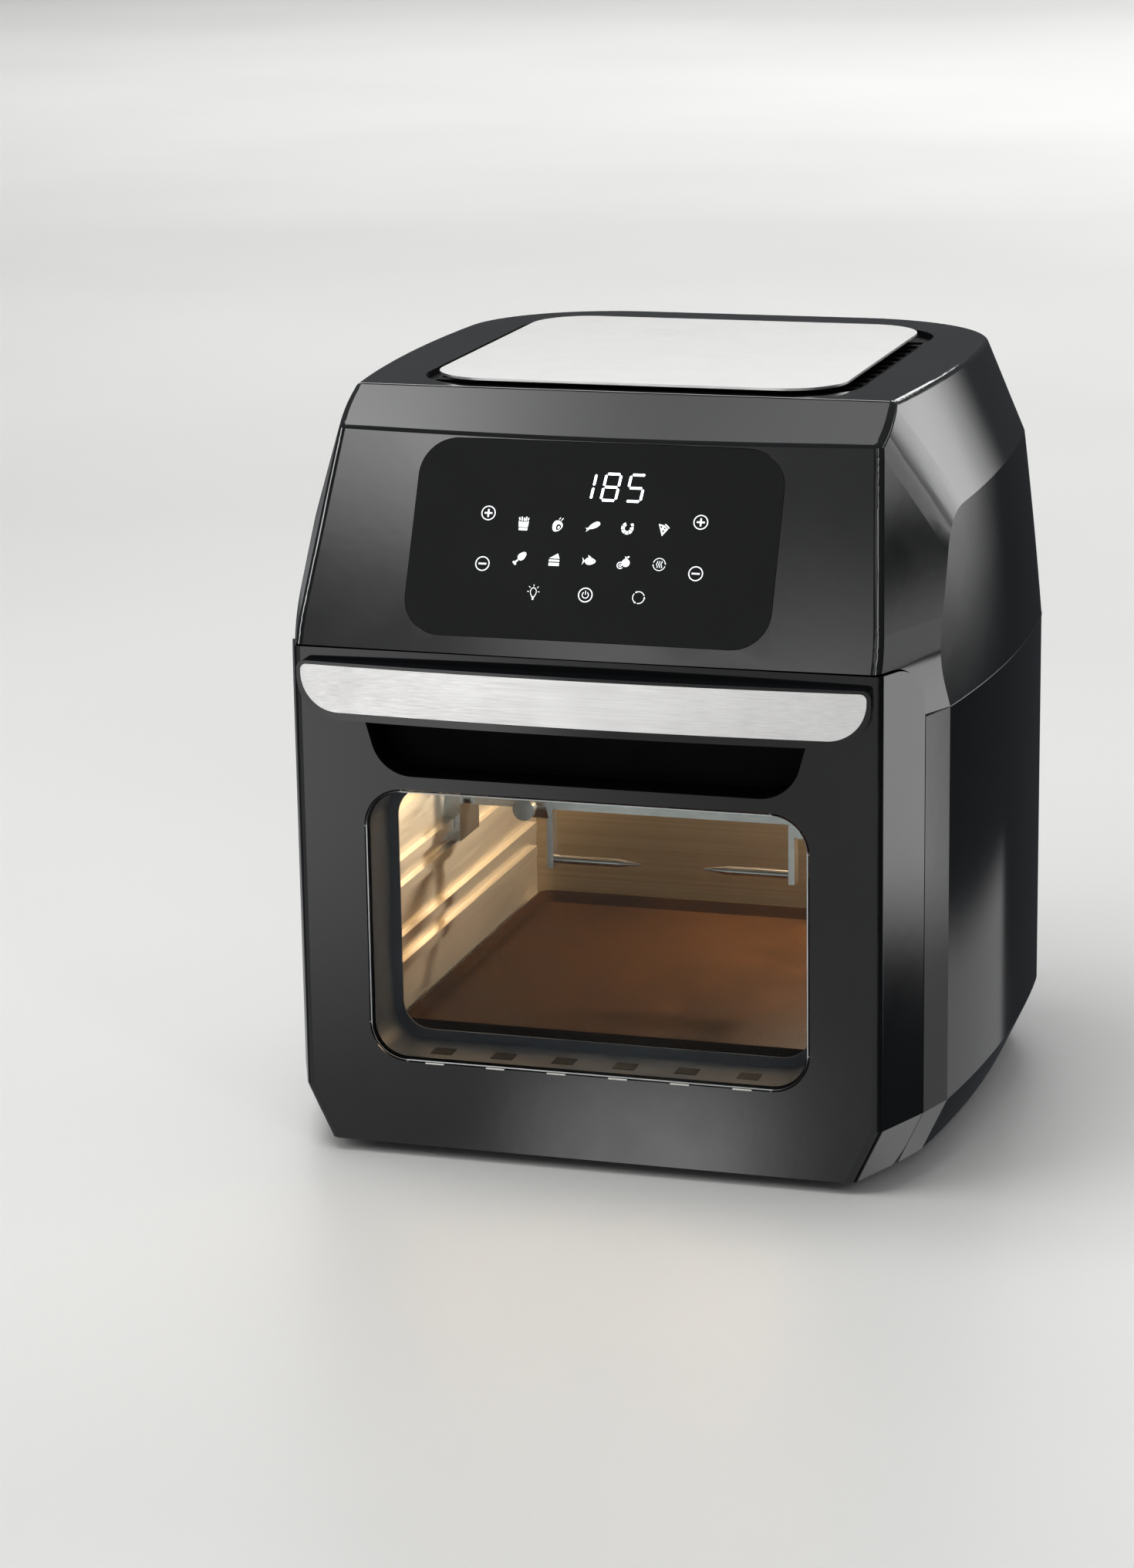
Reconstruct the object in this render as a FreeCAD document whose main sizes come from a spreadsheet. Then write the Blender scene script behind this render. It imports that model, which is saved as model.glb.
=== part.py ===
import FreeCAD, Part
import math
import os
from FreeCAD import Placement, Rotation, Vector

doc = FreeCAD.newDocument("AirFryer")
sheet = doc.addObject("Spreadsheet::Sheet", "sheet")

# Driving sizes in millimetres. Depths run back from the face of the door.
sizes = {
    # plan of the casing
    "front_y": -159.5,
    "front_half": 139.5,
    "seam_flare": 13.7,
    "seam_depth": 33.7,
    "crease_flare": 6.7,
    "crease_depth": 54.8,
    "bulge_depth": 165.0,
    "flank_flare": 4.6,
    "flank_depth": 250.0,
    "flank_bow": 5.3,
    "corner_in": 14.0,
    "corner_run": 40.0,
    "corner_wide": 45.0,
    "corner_deep": 69.5,
    "back_bow": 2.5,
    "cover_lap": 46.0,
    # heights of the casing
    "floor_z": 6.0,
    "chamfer_rise": 25.5,
    "chamfer_in": 12.0,
    "shell_high": 215.7,
    "panel_lift": 25.9,
    "panel_rise": 95.9,
    "panel_back": 43.5,
    "panel_taper": 9.9,
    "panel_bow": 2.0,
    "band_rise": 14.5,
    "band_run": 24.5,
    "crown_rise": 1.1,
    "mid_side_in": 7.3,
    "top_side_in": 16.7,
    "top_back_in": 3.0,
    "shoulder_out": 2.8,
    "shoulder_depth": 91.0,
    "shoulder_spread": 0.0118,
    "shoulder_slope": 0.4267,
    "shoulder_blend": 120.0,
    "cheek_blend": 130.0,
    "rear_blend": 70.0,
    "edge_round": 5.0,
    "band_round": 4.0,
    "rim_round": 3.2,
    "wall": 3.0,
    "seat_clear": 0.2,
    # door
    "door_gap": 1.0,
    "seam_gap": 0.6,
    "door_round": 21.2,
    "window_side": 32.4,
    "window_tall": 133.3,
    "window_round": 18.5,
    "scoop_sill": 6.4,
    "tunnel_wall": 2.0,
    "tunnel_flange": 4.5,
    "inner_in": 6.5,
    "inner_low_in": 7.0,
    "inner_round": 14.0,
    "frame_thick": 3.5,
    "glass_thick": 2.0,
    "glass_set": 0.5,
    "glass_lap": 5.0,
    "seal_gap": 2.0,
    "seal_width": 5.0,
    "seal_thick": 1.5,
    # handle and finger scoop
    "handle_in": 2.9,
    "handle_drop": 5.2,
    "handle_tall": 27.4,
    "handle_front": 11.0,
    "handle_ends": 5.5,
    "strip_in": 2.0,
    "strip_low_in": 3.6,
    "strip_top_in": 1.6,
    "strip_thick": 1.5,
    "strip_clear": 0.15,
    "strip_top_round": 3.0,
    "handle_low_round": 20.0,
    "handle_top_round": 4.0,
    "scoop_in": 26.9,
    "scoop_lean": 11.5,
    "scoop_under": 13.4,
    "scoop_tall": 41.0,
    "scoop_round": 20.0,
    "scoop_top_round": 2.0,
    "cup_back": 21.0,
    "cup_wall": 1.5,
    "cup_lap": 2.0,
    "handle_screw_half": 90.0,
    "screw_reach": 5.0,
    # door hinge
    "hinge_depth": 12.0,
    "hinge_z": 18.0,
    "hinge_in": 25.5,
    "arm_thick": 3.0,
    "arm_radius": 6.0,
    "arm_back": 100.0,
    "ear_thick": 3.0,
    "side_clear": 0.5,
    "pin_radius": 2.5,
    "pin_clear": 0.05,
    "pin_over": 0.5,
    "slot_over": 4.0,
    "sole_width": 14.0,
    "sole_thick": 1.5,
    "sole_front": 55.0,
    "arm_foot": 45.0,
    # oven cavity
    "cavity_out": 12.4,
    "cavity_under": 8.3,
    "cavity_over": 16.3,
    "cavity_behind": 37.5,
    "cavity_wall": 0.6,
    "rail_thick": 1.5,
    "rail_in": 17.0,
    "rail_flange": 16.0,
    "rail_front": 75.0,
    "rail_end": 17.0,
    "rib_reach": 4.0,
    "rib_height": 5.0,
    "rib_pitch": 13.0,
    "rib_lift": 28.0,
    "rib_step": 38.0,
    "rib_end": 12.0,
    "frame_plate": 2.5,
    "frame_low": 40.0,
    "frame_under": 2.7,
    "frame_in": 5.2,
    "frame_round": 3.0,
    "seal_land": 6.0,
    # base and feet
    "base_thick": 3.0,
    "base_gap": 5.0,
    "base_screw_in": 20.0,
    "foot_taper": 2.0,
    "foot_radius": 11.0,
    "foot_in": 51.5,
    "foot_front": 70.0,
    "foot_behind": 39.5,
    # hot air drive
    "fan_depth": 160.0,
    "shaft_radius": 4.0,
    "shaft_clear": 0.05,
    "fan_radius": 62.0,
    "fan_drop": 6.0,
    "fan_tall": 10.0,
    "fan_disc": 1.2,
    "fan_blades": 8,
    "cooler_radius": 48.0,
    "cooler_lift": 5.0,
    "cooler_tall": 10.0,
    "hub_radius": 9.0,
    "blade_thick": 1.2,
    "blade_start": 20.0,
    "blade_rake": 28.0,
    "blade_edge": 3.0,
    "shaft_over": 3.0,
    "shaft_top": 8.0,
    "deck_lift": 6.0,
    "deck_thick": 2.0,
    "deck_out": 24.0,
    "deck_width": 44.0,
    "deck_foot": 12.0,
    "motor_radius": 30.0,
    "motor_tall": 44.0,
    "motor_end": 6.0,
    "motor_cap_radius": 12.0,
    "motor_cap_high": 4.0,
    "shaft_hole": 9.0,
    "guard_out": 14.0,
    "guard_drop": 12.0,
    "guard_thick": 1.2,
    "guard_slot": 5.0,
    "guard_first": 16.0,
    "guard_middle": 51.0,
    "guard_web": 6.0,
    "guard_edge": 8.0,
    "guard_slots": 18,
    "guard_post": 2.5,
    "guard_post_in": 4.0,
    "coil_out": 16.0,
    "coil_tube": 3.3,
    "coil_drop": 11.0,
    "coil_leg": 13.0,
    "coil_over": 14.0,
    # rotisserie
    "spit_depth": 150.0,
    "spit_lift": 92.0,
    "spit_square": 7.0,
    "spit_end": 4.0,
    "fork_reach": 34.0,
    "fork_long": 46.0,
    "fork_in": 51.0,
    "fork_hub": 9.0,
    "fork_hub_long": 14.0,
    "fork_thick": 3.0,
    "fork_width": 8.0,
    "tine_radius": 2.2,
    "tine_tip": 12.0,
    "tine_in": 4.0,
    "thumb_radius": 5.5,
    "thumb_long": 12.0,
    "thumb_high": 5.0,
    "rest_thick": 7.0,
    "rest_width": 30.0,
    "rest_below": 20.0,
    "rest_above": 14.0,
    "rest_gap": 2.0,
    "socket_radius": 8.0,
    "socket_long": 10.0,
    "socket_gap": 1.0,
    "journal_radius": 5.0,
    "journal_long": 16.0,
    "gearbox_long": 56.0,
    "gearbox_thick": 26.0,
    # cavity fittings
    "lamp_behind": 50.0,
    "lamp_drop": 42.0,
    "lamp_radius": 20.0,
    "lamp_wall": 2.0,
    "lamp_deep": 15.0,
    "lamp_hole": 14.0,
    "lamp_base": 15.0,
    "lamp_base_long": 20.0,
    "bulb_radius": 6.0,
    "bulb_reach": 8.0,
    "sensor_radius": 2.0,
    "sensor_long": 34.0,
    "sensor_out": 6.0,
    "sensor_x": -60.0,
    "sensor_drop": 20.0,
    "sensor_flange": 6.0,
    "tray_tall": 8.0,
    "tray_wall": 1.0,
    "tray_gap": 1.0,
    "tray_end": 8.0,
    "tray_round": 8.0,
    # controls
    "touch_side": 42.3,
    "touch_low": 7.7,
    "touch_tall": 93.3,
    "touch_round": 18.0,
    "touch_thick": 1.6,
    "board_gap": 8.0,
    "board_thick": 1.6,
    "board_in": 2.0,
    "board_trim": 3.0,
    "boss_radius": 4.0,
    "boss_in": 6.0,
    "boss_up": 8.0,
    "display_half": 22.0,
    "display_drop": 11.0,
    "display_tall": 24.0,
    "display_round": 1.0,
    "power_half": 60.0,
    "power_gap": 6.0,
    "power_deep": 60.0,
    "power_rise": 14.0,
    "power_post": 3.0,
    "power_post_in": 6.0,
    # top
    "recess_side": 25.4,
    "recess_run": 8.5,
    "recess_behind": 35.0,
    "recess_round": 32.0,
    "plate_in": 7.3,
    "plate_front_in": 2.8,
    "plate_back_in": 8.5,
    "plate_round": 28.0,
    "plate_lift": 2.7,
    "plate_thick": 1.2,
    "vent_thick": 2.0,
    "vent_lap": 6.0,
    "vent_post": 5.0,
    "vent_post_half": 60.0,
    "vent_post_in": 40.0,
    "vent_slots": 13,
    "vent_pitch": 13.0,
    "vent_slot": 7.0,
    "vent_slot_long": 16.0,
    "vent_slot_in": 6.0,
    # switch, catch and cord inlet
    "switch_in": 20.0,
    "switch_drop": 23.0,
    "plunger_radius": 3.0,
    "plunger_long": 14.0,
    "plunger_room": 15.0,
    "switch_width": 16.0,
    "switch_deep": 18.0,
    "switch_high": 24.0,
    "magnet_radius": 5.0,
    "magnet_long": 7.0,
    "catch_lap": 2.0,
    "catch_thick": 1.0,
    "gland_radius": 9.0,
    "gland_flange": 3.0,
    "gland_in": 10.0,
    "gland_bore": 4.0,
    "gland_wall": 6.0,
    "gland_side": 23.5,
    "gland_z": 52.0,
    # back cover
    "spacer_reach": 8.0,
    "spacer_radius": 9.0,
    "spacer_half": 70.0,
    "spacer_drop": 11.7,
    "rear_slots": 11,
    "rear_pitch": 16.0,
    "rear_slot_half": 2.5,
    "rear_slot_low": 96.0,
    "rear_slot_long": 40.0,
    "rear_slot_step": 52.0,
    "rear_screw_in": 8.0,
    "rear_screw_low": 70.0,
    "rear_screw_drop": 21.7,
    # screws
    "screw_radius": 2.0,
    "screw_head": 3.6,
    "screw_head_high": 1.8,
    "screw_long": 12.0,
}


class Sizes:
    pass


v = Sizes()
cells = []


def enter(alias, size):
    # One row of the sheet, and the same number for the shapes built below.
    cells.append(alias)
    sheet.set("A%d" % len(cells), alias)
    sheet.set("B%d" % len(cells), str(round(size, 6)))
    sheet.setAlias("B%d" % len(cells), alias)
    setattr(v, alias, float(size))


for alias, size in sizes.items():
    enter(alias, size)

# Sizes that follow from the ones above.
share = (v.bulge_depth - v.crease_depth) / (v.flank_depth - v.crease_depth)
enter("seam_half", v.front_half + v.seam_flare)
enter("crease_half", v.seam_half + v.crease_flare)
enter("flank_half", v.crease_half + v.flank_flare)
enter("bulge_half", v.crease_half + v.flank_flare * share + v.flank_bow)
enter("corner_half", v.flank_half - v.corner_in)
enter("corner_depth", v.flank_depth + v.corner_run)
enter("back_half", v.flank_half - v.corner_wide)
enter("back_depth", v.flank_depth + v.corner_deep)
enter("back_mid", v.back_depth + v.back_bow)
enter("cover_depth", v.flank_depth + v.cover_lap)
enter("chamfer_z", v.floor_z + v.chamfer_rise)
enter("shell_z", v.floor_z + v.shell_high)
enter("panel_z", v.shell_z + v.panel_lift)
enter("panel_top_z", v.panel_z + v.panel_rise)
enter("panel_top_half", v.front_half - v.panel_taper)
enter("band_z", v.panel_top_z + v.band_rise)
enter("band_depth", v.panel_back + v.band_run)
enter("top_z", v.band_z + v.crown_rise)
enter("shoulder_half", v.panel_top_half + v.shoulder_out)
enter("hinge_half", v.front_half - v.hinge_in)
enter("handle_half", v.front_half - v.handle_in)
enter("window_half", v.front_half - v.window_side)
enter("touch_half", v.panel_top_half - v.touch_side)
enter("recess_half", v.shoulder_half - v.recess_side)
enter("scoop_top_half", v.handle_half - v.scoop_in)
enter("scoop_low_half", v.scoop_top_half - v.scoop_lean)
enter("foot_half", v.flank_half - v.foot_in)
enter("foot_rear", v.back_depth - v.foot_behind)
enter("gland_half", v.back_half - v.gland_side)
enter("rear_screw_half", v.back_half - v.rear_screw_in)
enter("handle_high", v.panel_z - v.door_gap - v.handle_drop)
enter("handle_low", v.handle_high - v.handle_tall)
enter("strip_half", v.handle_half - v.strip_in)
enter("strip_low", v.handle_low + v.strip_low_in)
enter("strip_high", v.handle_high - v.strip_top_in)
enter("scoop_high", v.handle_high - v.scoop_under)
enter("scoop_low", v.scoop_high - v.scoop_tall)
enter("window_high", v.scoop_low - v.scoop_sill)
enter("window_low", v.window_high - v.window_tall)
enter("inner_half", v.window_half - v.inner_in)
enter("inner_low", v.window_low + v.inner_low_in)
enter("inner_high", v.window_high - v.inner_in)
enter("cavity_half", v.inner_half + v.cavity_out)
enter("cavity_low", v.inner_low - v.cavity_under)
enter("cavity_high", v.shell_z + v.cavity_over)
enter("frame_front", v.seam_depth - v.seam_gap + v.seal_thick + v.seat_clear)
enter("cavity_front", v.frame_front + v.frame_plate)
enter("cavity_back", v.back_depth - v.cavity_behind)
enter("rail_half", v.cavity_half - v.rail_in)
enter("rail_back", v.cavity_back - v.rail_end)
enter("fork_place", v.cavity_half - v.fork_in)
enter("lamp_depth", v.cavity_back - v.lamp_behind)
enter("spit_z", v.cavity_low + v.spit_lift)
enter("rib_first", v.cavity_low + v.rib_lift)
enter("rib_front", v.cavity_front + v.rib_end)
enter("rib_back", v.cavity_back - v.rib_end)
enter("frame_high", v.shell_z - v.frame_under)
enter("frame_side", v.seam_half - v.frame_in)
enter("base_front", v.seam_depth + v.base_gap)
enter("fan_high", v.cavity_high - v.fan_drop)
enter("fan_low", v.fan_high - v.fan_tall)
enter("cooler_low", v.cavity_high + v.cooler_lift)
enter("cooler_high", v.cooler_low + v.cooler_tall)
enter("deck_low", v.cooler_high + v.deck_lift)
enter("deck_half", v.cooler_radius + v.deck_out)
enter("motor_high", v.deck_low + v.deck_thick + v.motor_tall)
enter("coil_radius", v.fan_radius + v.coil_out)
enter("coil_z", v.cavity_high - v.coil_drop)
enter("guard_radius", v.coil_radius + v.guard_out)
enter("guard_low", v.fan_low - v.guard_drop)
enter("lamp_z", v.cavity_high - v.lamp_drop)
enter("sensor_z", v.cavity_high - v.sensor_drop)
enter("tray_high", v.cavity_low + v.tray_tall)
enter("touch_high", v.touch_low + v.touch_tall)
enter("display_high", v.touch_high - v.display_drop)
enter("display_low", v.display_high - v.display_tall)
enter("power_front", v.fan_depth + v.cooler_radius + v.power_gap)
enter("power_back", v.power_front + v.power_deep)
enter("recess_front", v.band_depth + v.recess_run)
enter("recess_back", v.back_mid - v.recess_behind)
enter("plate_half", v.recess_half - v.plate_in)
enter("plate_front", v.recess_front + v.plate_front_in)
enter("plate_back", v.recess_back - v.plate_back_in)
enter("plate_z", v.top_z + v.plate_lift)
enter("switch_half", v.frame_side - v.switch_in)
enter("switch_z", v.frame_high - v.switch_drop)
enter("spacer_z", v.shell_z - v.spacer_drop)
enter("rear_screw_high", v.shell_z - v.rear_screw_drop)
doc.recompute()

pieces = []


def keep(obj, label):
    obj.Label = label
    pieces.append(obj)
    return obj


def feature(label, shape):
    obj = doc.addObject("Part::Feature", label)
    obj.Shape = shape.removeSplitter()
    obj.Placement = Placement()
    return keep(obj, label)


def bind(obj, **expressions):
    for prop, expression in expressions.items():
        obj.setExpression(prop, expression)


def seat(obj, x, depth, z):
    obj.setExpression("Placement.Base.x", x)
    obj.setExpression("Placement.Base.y", "sheet.front_y + " + depth)
    obj.setExpression("Placement.Base.z", z)


def box(name, long, wide, high, x, depth, z):
    obj = doc.addObject("Part::Box", name)
    bind(obj, Length=long, Width=wide, Height=high)
    seat(obj, x, depth, z)
    return obj


def rod(name, radius, high, x, depth, z, axis=Vector(0, 0, 1)):
    obj = doc.addObject("Part::Cylinder", name)
    obj.Placement = Placement(Vector(), Rotation(Vector(0, 0, 1), axis))
    bind(obj, Radius=radius, Height=high)
    seat(obj, x, depth, z)
    return obj


def fuse(name, shapes):
    obj = doc.addObject("Part::MultiFuse", name)
    obj.Shapes = shapes
    obj.Refine = True
    return obj


def cut(name, base, tools):
    obj = doc.addObject("Part::Cut", name)
    obj.Base = base
    obj.Tool = tools[0] if len(tools) == 1 else fuse(name + "_tools", tools)
    obj.Refine = True
    return obj


right = Vector(1, 0, 0)
back = Vector(0, 1, 0)


def pt(x, depth, z):
    return Vector(x, v.front_y + depth, z)


def mirrored(shape):
    return shape.mirror(Vector(), right)


def rounded_wire(corners, place):
    # Closed outline through corners (a, b, radius), laid in space by place.
    count = len(corners)
    joints = []
    for i, (a, b, radius) in enumerate(corners):
        here = Vector(a, b, 0)
        before = Vector(*corners[i - 1][:2], 0) - here
        after = Vector(*corners[(i + 1) % count][:2], 0) - here
        before.normalize()
        after.normalize()
        half = before.getAngle(after) / 2
        reach = radius / math.tan(half)
        middle = before + after
        middle.normalize()
        middle = here + middle * (radius / math.sin(half) - radius)
        joints.append((here + before * reach, middle, here + after * reach, radius))
    edges = []
    for i, (start, middle, end, radius) in enumerate(joints):
        if radius > 0:
            edges.append(Part.Arc(place(start), place(middle), place(end)).toShape())
        following = joints[(i + 1) % count][0]
        if (following - end).Length > 1e-6:
            edges.append(Part.makeLine(place(end), place(following)))
    return Part.Wire(Part.__sortEdges__(edges))


def front_prism(corners, start, end):
    # Outline drawn as seen from the front, run back from start to end.
    wire = rounded_wire(corners, lambda p: pt(p.x, start, p.y))
    return Part.Face(wire).extrude(Vector(0, end - start, 0))


def side_prism(corners, half):
    # Outline drawn as seen from the side, run across the full width.
    wire = rounded_wire(corners, lambda p: pt(-half, p.x, p.y))
    return Part.Face(wire).extrude(Vector(2 * half, 0, 0))


def flat_prism(corners, low, high):
    # Outline drawn as seen from above, run up from low to high.
    wire = rounded_wire(corners, lambda p: pt(p.x, p.y, low))
    return Part.Face(wire).extrude(Vector(0, 0, high - low))


def oblong(half, low, high, low_round, top_round=None):
    top = low_round if top_round is None else top_round
    return [(-half, low, low_round), (half, low, low_round), (half, high, top), (-half, high, top)]


def half_space(point, normal):
    block = Part.makeBox(1600, 1600, 900, Vector(-800, -800, 0))
    block.Placement = Placement(point, Rotation(Vector(0, 0, 1), normal))
    return block


# Casing plan: a flared cheek, a bowed flank, a round corner and a bowed back.
def flank_x(depth):
    arc = Part.Circle(
        Vector(v.crease_half, v.crease_depth, 0),
        Vector(v.bulge_half, v.bulge_depth, 0),
        Vector(v.flank_half, v.flank_depth, 0),
    )
    return arc.Center.x + math.sqrt(arc.Radius ** 2 - (depth - arc.Center.y) ** 2)


def casing_wire(z, side_in, back_in, start, cheek):
    crease = v.crease_depth if cheek else start
    first = pt(flank_x(crease) - side_in, crease, z)
    bulge = pt(v.bulge_half - side_in, v.bulge_depth, z)
    flank = pt(v.flank_half - side_in, v.flank_depth, z)
    corner = pt(v.corner_half - 0.75 * side_in, v.corner_depth - 0.7 * back_in, z)
    end = pt(v.back_half - 0.4 * side_in, v.back_depth - back_in, z)
    middle = pt(0, v.back_mid - back_in, z)
    half = [Part.Arc(first, bulge, flank).toShape(), Part.Arc(flank, corner, end).toShape()]
    tip = first
    if cheek:
        slope = (v.crease_half - v.seam_half) / (v.crease_depth - v.seam_depth)
        tip = pt(v.seam_half + slope * (start - v.seam_depth) - side_in, start, z)
        half.insert(0, Part.makeLine(tip, first))
    edges = half + [edge.mirror(Vector(), right) for edge in half]
    far = Vector(-end.x, end.y, end.z)
    edges.append(Part.Arc(end, middle, far).toShape())
    edges.append(Part.makeLine(Vector(-tip.x, tip.y, tip.z), tip))
    return Part.Wire(Part.__sortEdges__(edges))


def lower_form(inset, start):
    straight = [casing_wire(z, inset, inset, start, True) for z in (v.chamfer_z, v.shell_z)]
    low = casing_wire(v.floor_z, inset + v.chamfer_in, inset + v.chamfer_in, start, True)
    upper = Part.makeLoft(straight, True, True)
    return upper.fuse(Part.makeLoft([low, straight[0]], True, True))


# Side outline of the door, with its rounded shoulder and the arc about the hinge.
door_back = v.seam_depth - v.seam_gap
door_top = v.panel_z - v.door_gap
swing = door_back - v.hinge_depth


def door_profile(inset, half):
    low = v.floor_z
    reach = math.sqrt(swing ** 2 - (v.hinge_z - low) ** 2)
    heel = math.sqrt(0.5) * swing
    top = door_top - inset
    rear = door_back - inset
    bend = v.door_round - inset
    edges = [
        Part.makeLine(pt(-half, inset, low), pt(-half, inset, top)),
        Part.makeLine(pt(-half, inset, top), pt(-half, rear - bend, top)),
        Part.Arc(
            pt(-half, rear - bend, top),
            pt(-half, rear - bend + bend * math.sqrt(0.5), top - bend + bend * math.sqrt(0.5)),
            pt(-half, rear, top - bend),
        ).toShape(),
    ]
    tail = pt(-half, door_back, v.hinge_z)
    middle_angle = 0.5 * math.atan2(v.hinge_z - low, reach)
    middle = pt(
        -half,
        v.hinge_depth + swing * math.cos(middle_angle),
        v.hinge_z - swing * math.sin(middle_angle),
    )
    toe = pt(-half, v.hinge_depth + reach, low)
    edges.append(Part.makeLine(pt(-half, rear, top - bend), tail))
    edges.append(Part.Arc(tail, middle, toe).toShape())
    edges.append(Part.makeLine(toe, pt(-half, inset, low)))
    wire = Part.Wire(Part.__sortEdges__(edges))
    return Part.Face(wire).extrude(Vector(2 * half, 0, 0))


def door_form(inset, low, high, rear):
    # Flared block of the door between two heights, with its lower sides cut in.
    slope = (v.seam_half - v.front_half) / v.seam_depth
    side = inset * math.hypot(1, slope)

    def ring(z, cut_in):
        ends = [(inset, v.front_half + slope * inset - side - cut_in)]
        ends.append((rear, v.front_half + slope * rear - side - cut_in))
        points = [pt(ends[0][1], ends[0][0], z), pt(ends[1][1], ends[1][0], z)]
        points += [Vector(-p.x, p.y, p.z) for p in reversed(points)]
        return Part.makePolygon(points + points[:1])

    share = (v.chamfer_z - low) / (v.chamfer_z - v.floor_z)
    lower = Part.makeLoft([ring(low, v.chamfer_in * share), ring(v.chamfer_z, 0)], True, True)
    upper = Part.makeLoft([ring(v.chamfer_z, 0), ring(high, 0)], True, True)
    return lower.fuse(upper).removeSplitter()


def upright_front_edges(shape, depth):
    found = []
    for edge in shape.Edges:
        ends = [vertex.Point for vertex in edge.Vertexes]
        flat = all(abs(p.y - v.front_y - depth) < 1e-4 for p in ends)
        if flat and abs(ends[0].z - ends[-1].z) > 5:
            found.append(edge)
    return found


# Door shell: front wall, flared sides, rounded top and turned heel, open behind.
door_outer = door_form(0, v.floor_z, door_top, door_back)
door_outer = door_outer.makeFillet(v.edge_round, upright_front_edges(door_outer, 0))
door_outer = door_outer.common(door_profile(0, 2 * v.seam_half))
door_hollow = door_form(v.wall, v.floor_z + v.wall, door_top - v.wall, 2 * door_back)
lip = door_top - v.door_round
hollow_side = [
    (v.wall, v.floor_z + v.wall, 0),
    (v.wall, door_top - v.wall, 0),
    (door_back - v.wall, door_top - v.wall, v.door_round - v.wall),
    (door_back - v.wall, lip - v.wall, 0),
    (2 * door_back, lip - v.wall, 0),
    (2 * door_back, v.floor_z + v.wall, 0),
]
door_hollow = door_hollow.common(side_prism(hollow_side, 2 * v.seam_half))
window_hole = front_prism(
    oblong(v.window_half, v.window_low, v.window_high, v.window_round), -v.wall, 2 * v.wall
)
scoop_corners = [
    (-v.scoop_low_half, v.scoop_low, v.scoop_round),
    (v.scoop_low_half, v.scoop_low, v.scoop_round),
    (v.scoop_top_half, v.scoop_high, v.scoop_top_round),
    (-v.scoop_top_half, v.scoop_high, v.scoop_top_round),
]
scoop_hole = front_prism(scoop_corners, -v.wall, 2 * v.wall)
arm_slot = v.arm_thick + 2 * v.side_clear
door_shell = door_outer.cut(door_hollow).cut(window_hole).cut(scoop_hole)
slot_front = v.hinge_depth - v.arm_radius - v.side_clear
for side in (-1, 1):
    slot = Part.makeBox(
        arm_slot, 2 * door_back, v.hinge_z + v.arm_radius + v.side_clear,
        pt(side * v.hinge_half - arm_slot / 2, slot_front, 0),
    )
    door_shell = door_shell.cut(slot)
screw_places = (-v.handle_screw_half, 0.0, v.handle_screw_half)
screw_z = (v.scoop_high + v.handle_high) / 2
for x in screw_places:
    hole = Part.makeCylinder(v.screw_radius, 3 * v.wall, pt(x, -v.wall, screw_z), back)
    door_shell = door_shell.cut(hole)
feature("door_shell", door_shell)

# Clear lens set flush in the front wall.
lens_half = v.window_half - v.seat_clear
feature("door_window", front_prism(
    oblong(lens_half, v.window_low + v.seat_clear, v.window_high - v.seat_clear,
           v.window_round - v.seat_clear), 0, v.wall,
))

# Deep frame between the lens and the inner panel, with a flange that carries the lens.
panel_front = door_back - v.frame_thick


def window_ring(grow, start, end):
    return front_prism(
        oblong(v.window_half + grow, v.window_low - grow, v.window_high + grow,
               v.window_round + grow), start, end,
    )


window_tunnel = window_ring(v.tunnel_flange, v.wall, v.wall + v.tunnel_wall)
window_tunnel = window_tunnel.fuse(window_ring(0, v.wall, panel_front))
window_tunnel = window_tunnel.cut(window_ring(-v.tunnel_wall, 0, door_back))
feature("window_tunnel", window_tunnel)

# Cup behind the finger scoop.
cup_corners = []
for x, z, radius in scoop_corners:
    up = v.cup_wall if z > v.scoop_low else -v.cup_wall
    cup_corners.append((x + math.copysign(v.cup_wall + v.cup_lap, x), z + up, radius + v.cup_wall))
cup = front_prism(cup_corners, v.wall, v.cup_back)
feature("grip_cup", cup.cut(front_prism(scoop_corners, 0, v.cup_back - v.cup_wall)))

# Inner panel of the door with the hinge ears and the seat of the inner glass.
gap = v.seat_clear
inner_panel = door_form(v.wall + gap, v.floor_z + v.wall + gap, lip - v.wall - gap, 2 * door_back)
inner_panel = inner_panel.common(door_profile(0, 2 * v.seam_half))
slab = Part.makeBox(4 * v.seam_half, v.frame_thick, 2 * door_top, pt(-2 * v.seam_half, panel_front, 0))
inner_panel = inner_panel.common(slab)
inner_hole = front_prism(
    oblong(v.inner_half, v.inner_low, v.inner_high, v.inner_round), panel_front - 1, door_back + 1
)
glass_back = door_back - v.glass_set
glass_front = glass_back - v.glass_thick


def glass_form(grow, start, end):
    return front_prism(
        oblong(v.inner_half + grow, v.inner_low - grow, v.inner_high + grow,
               v.inner_round + grow), start, end,
    )


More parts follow.
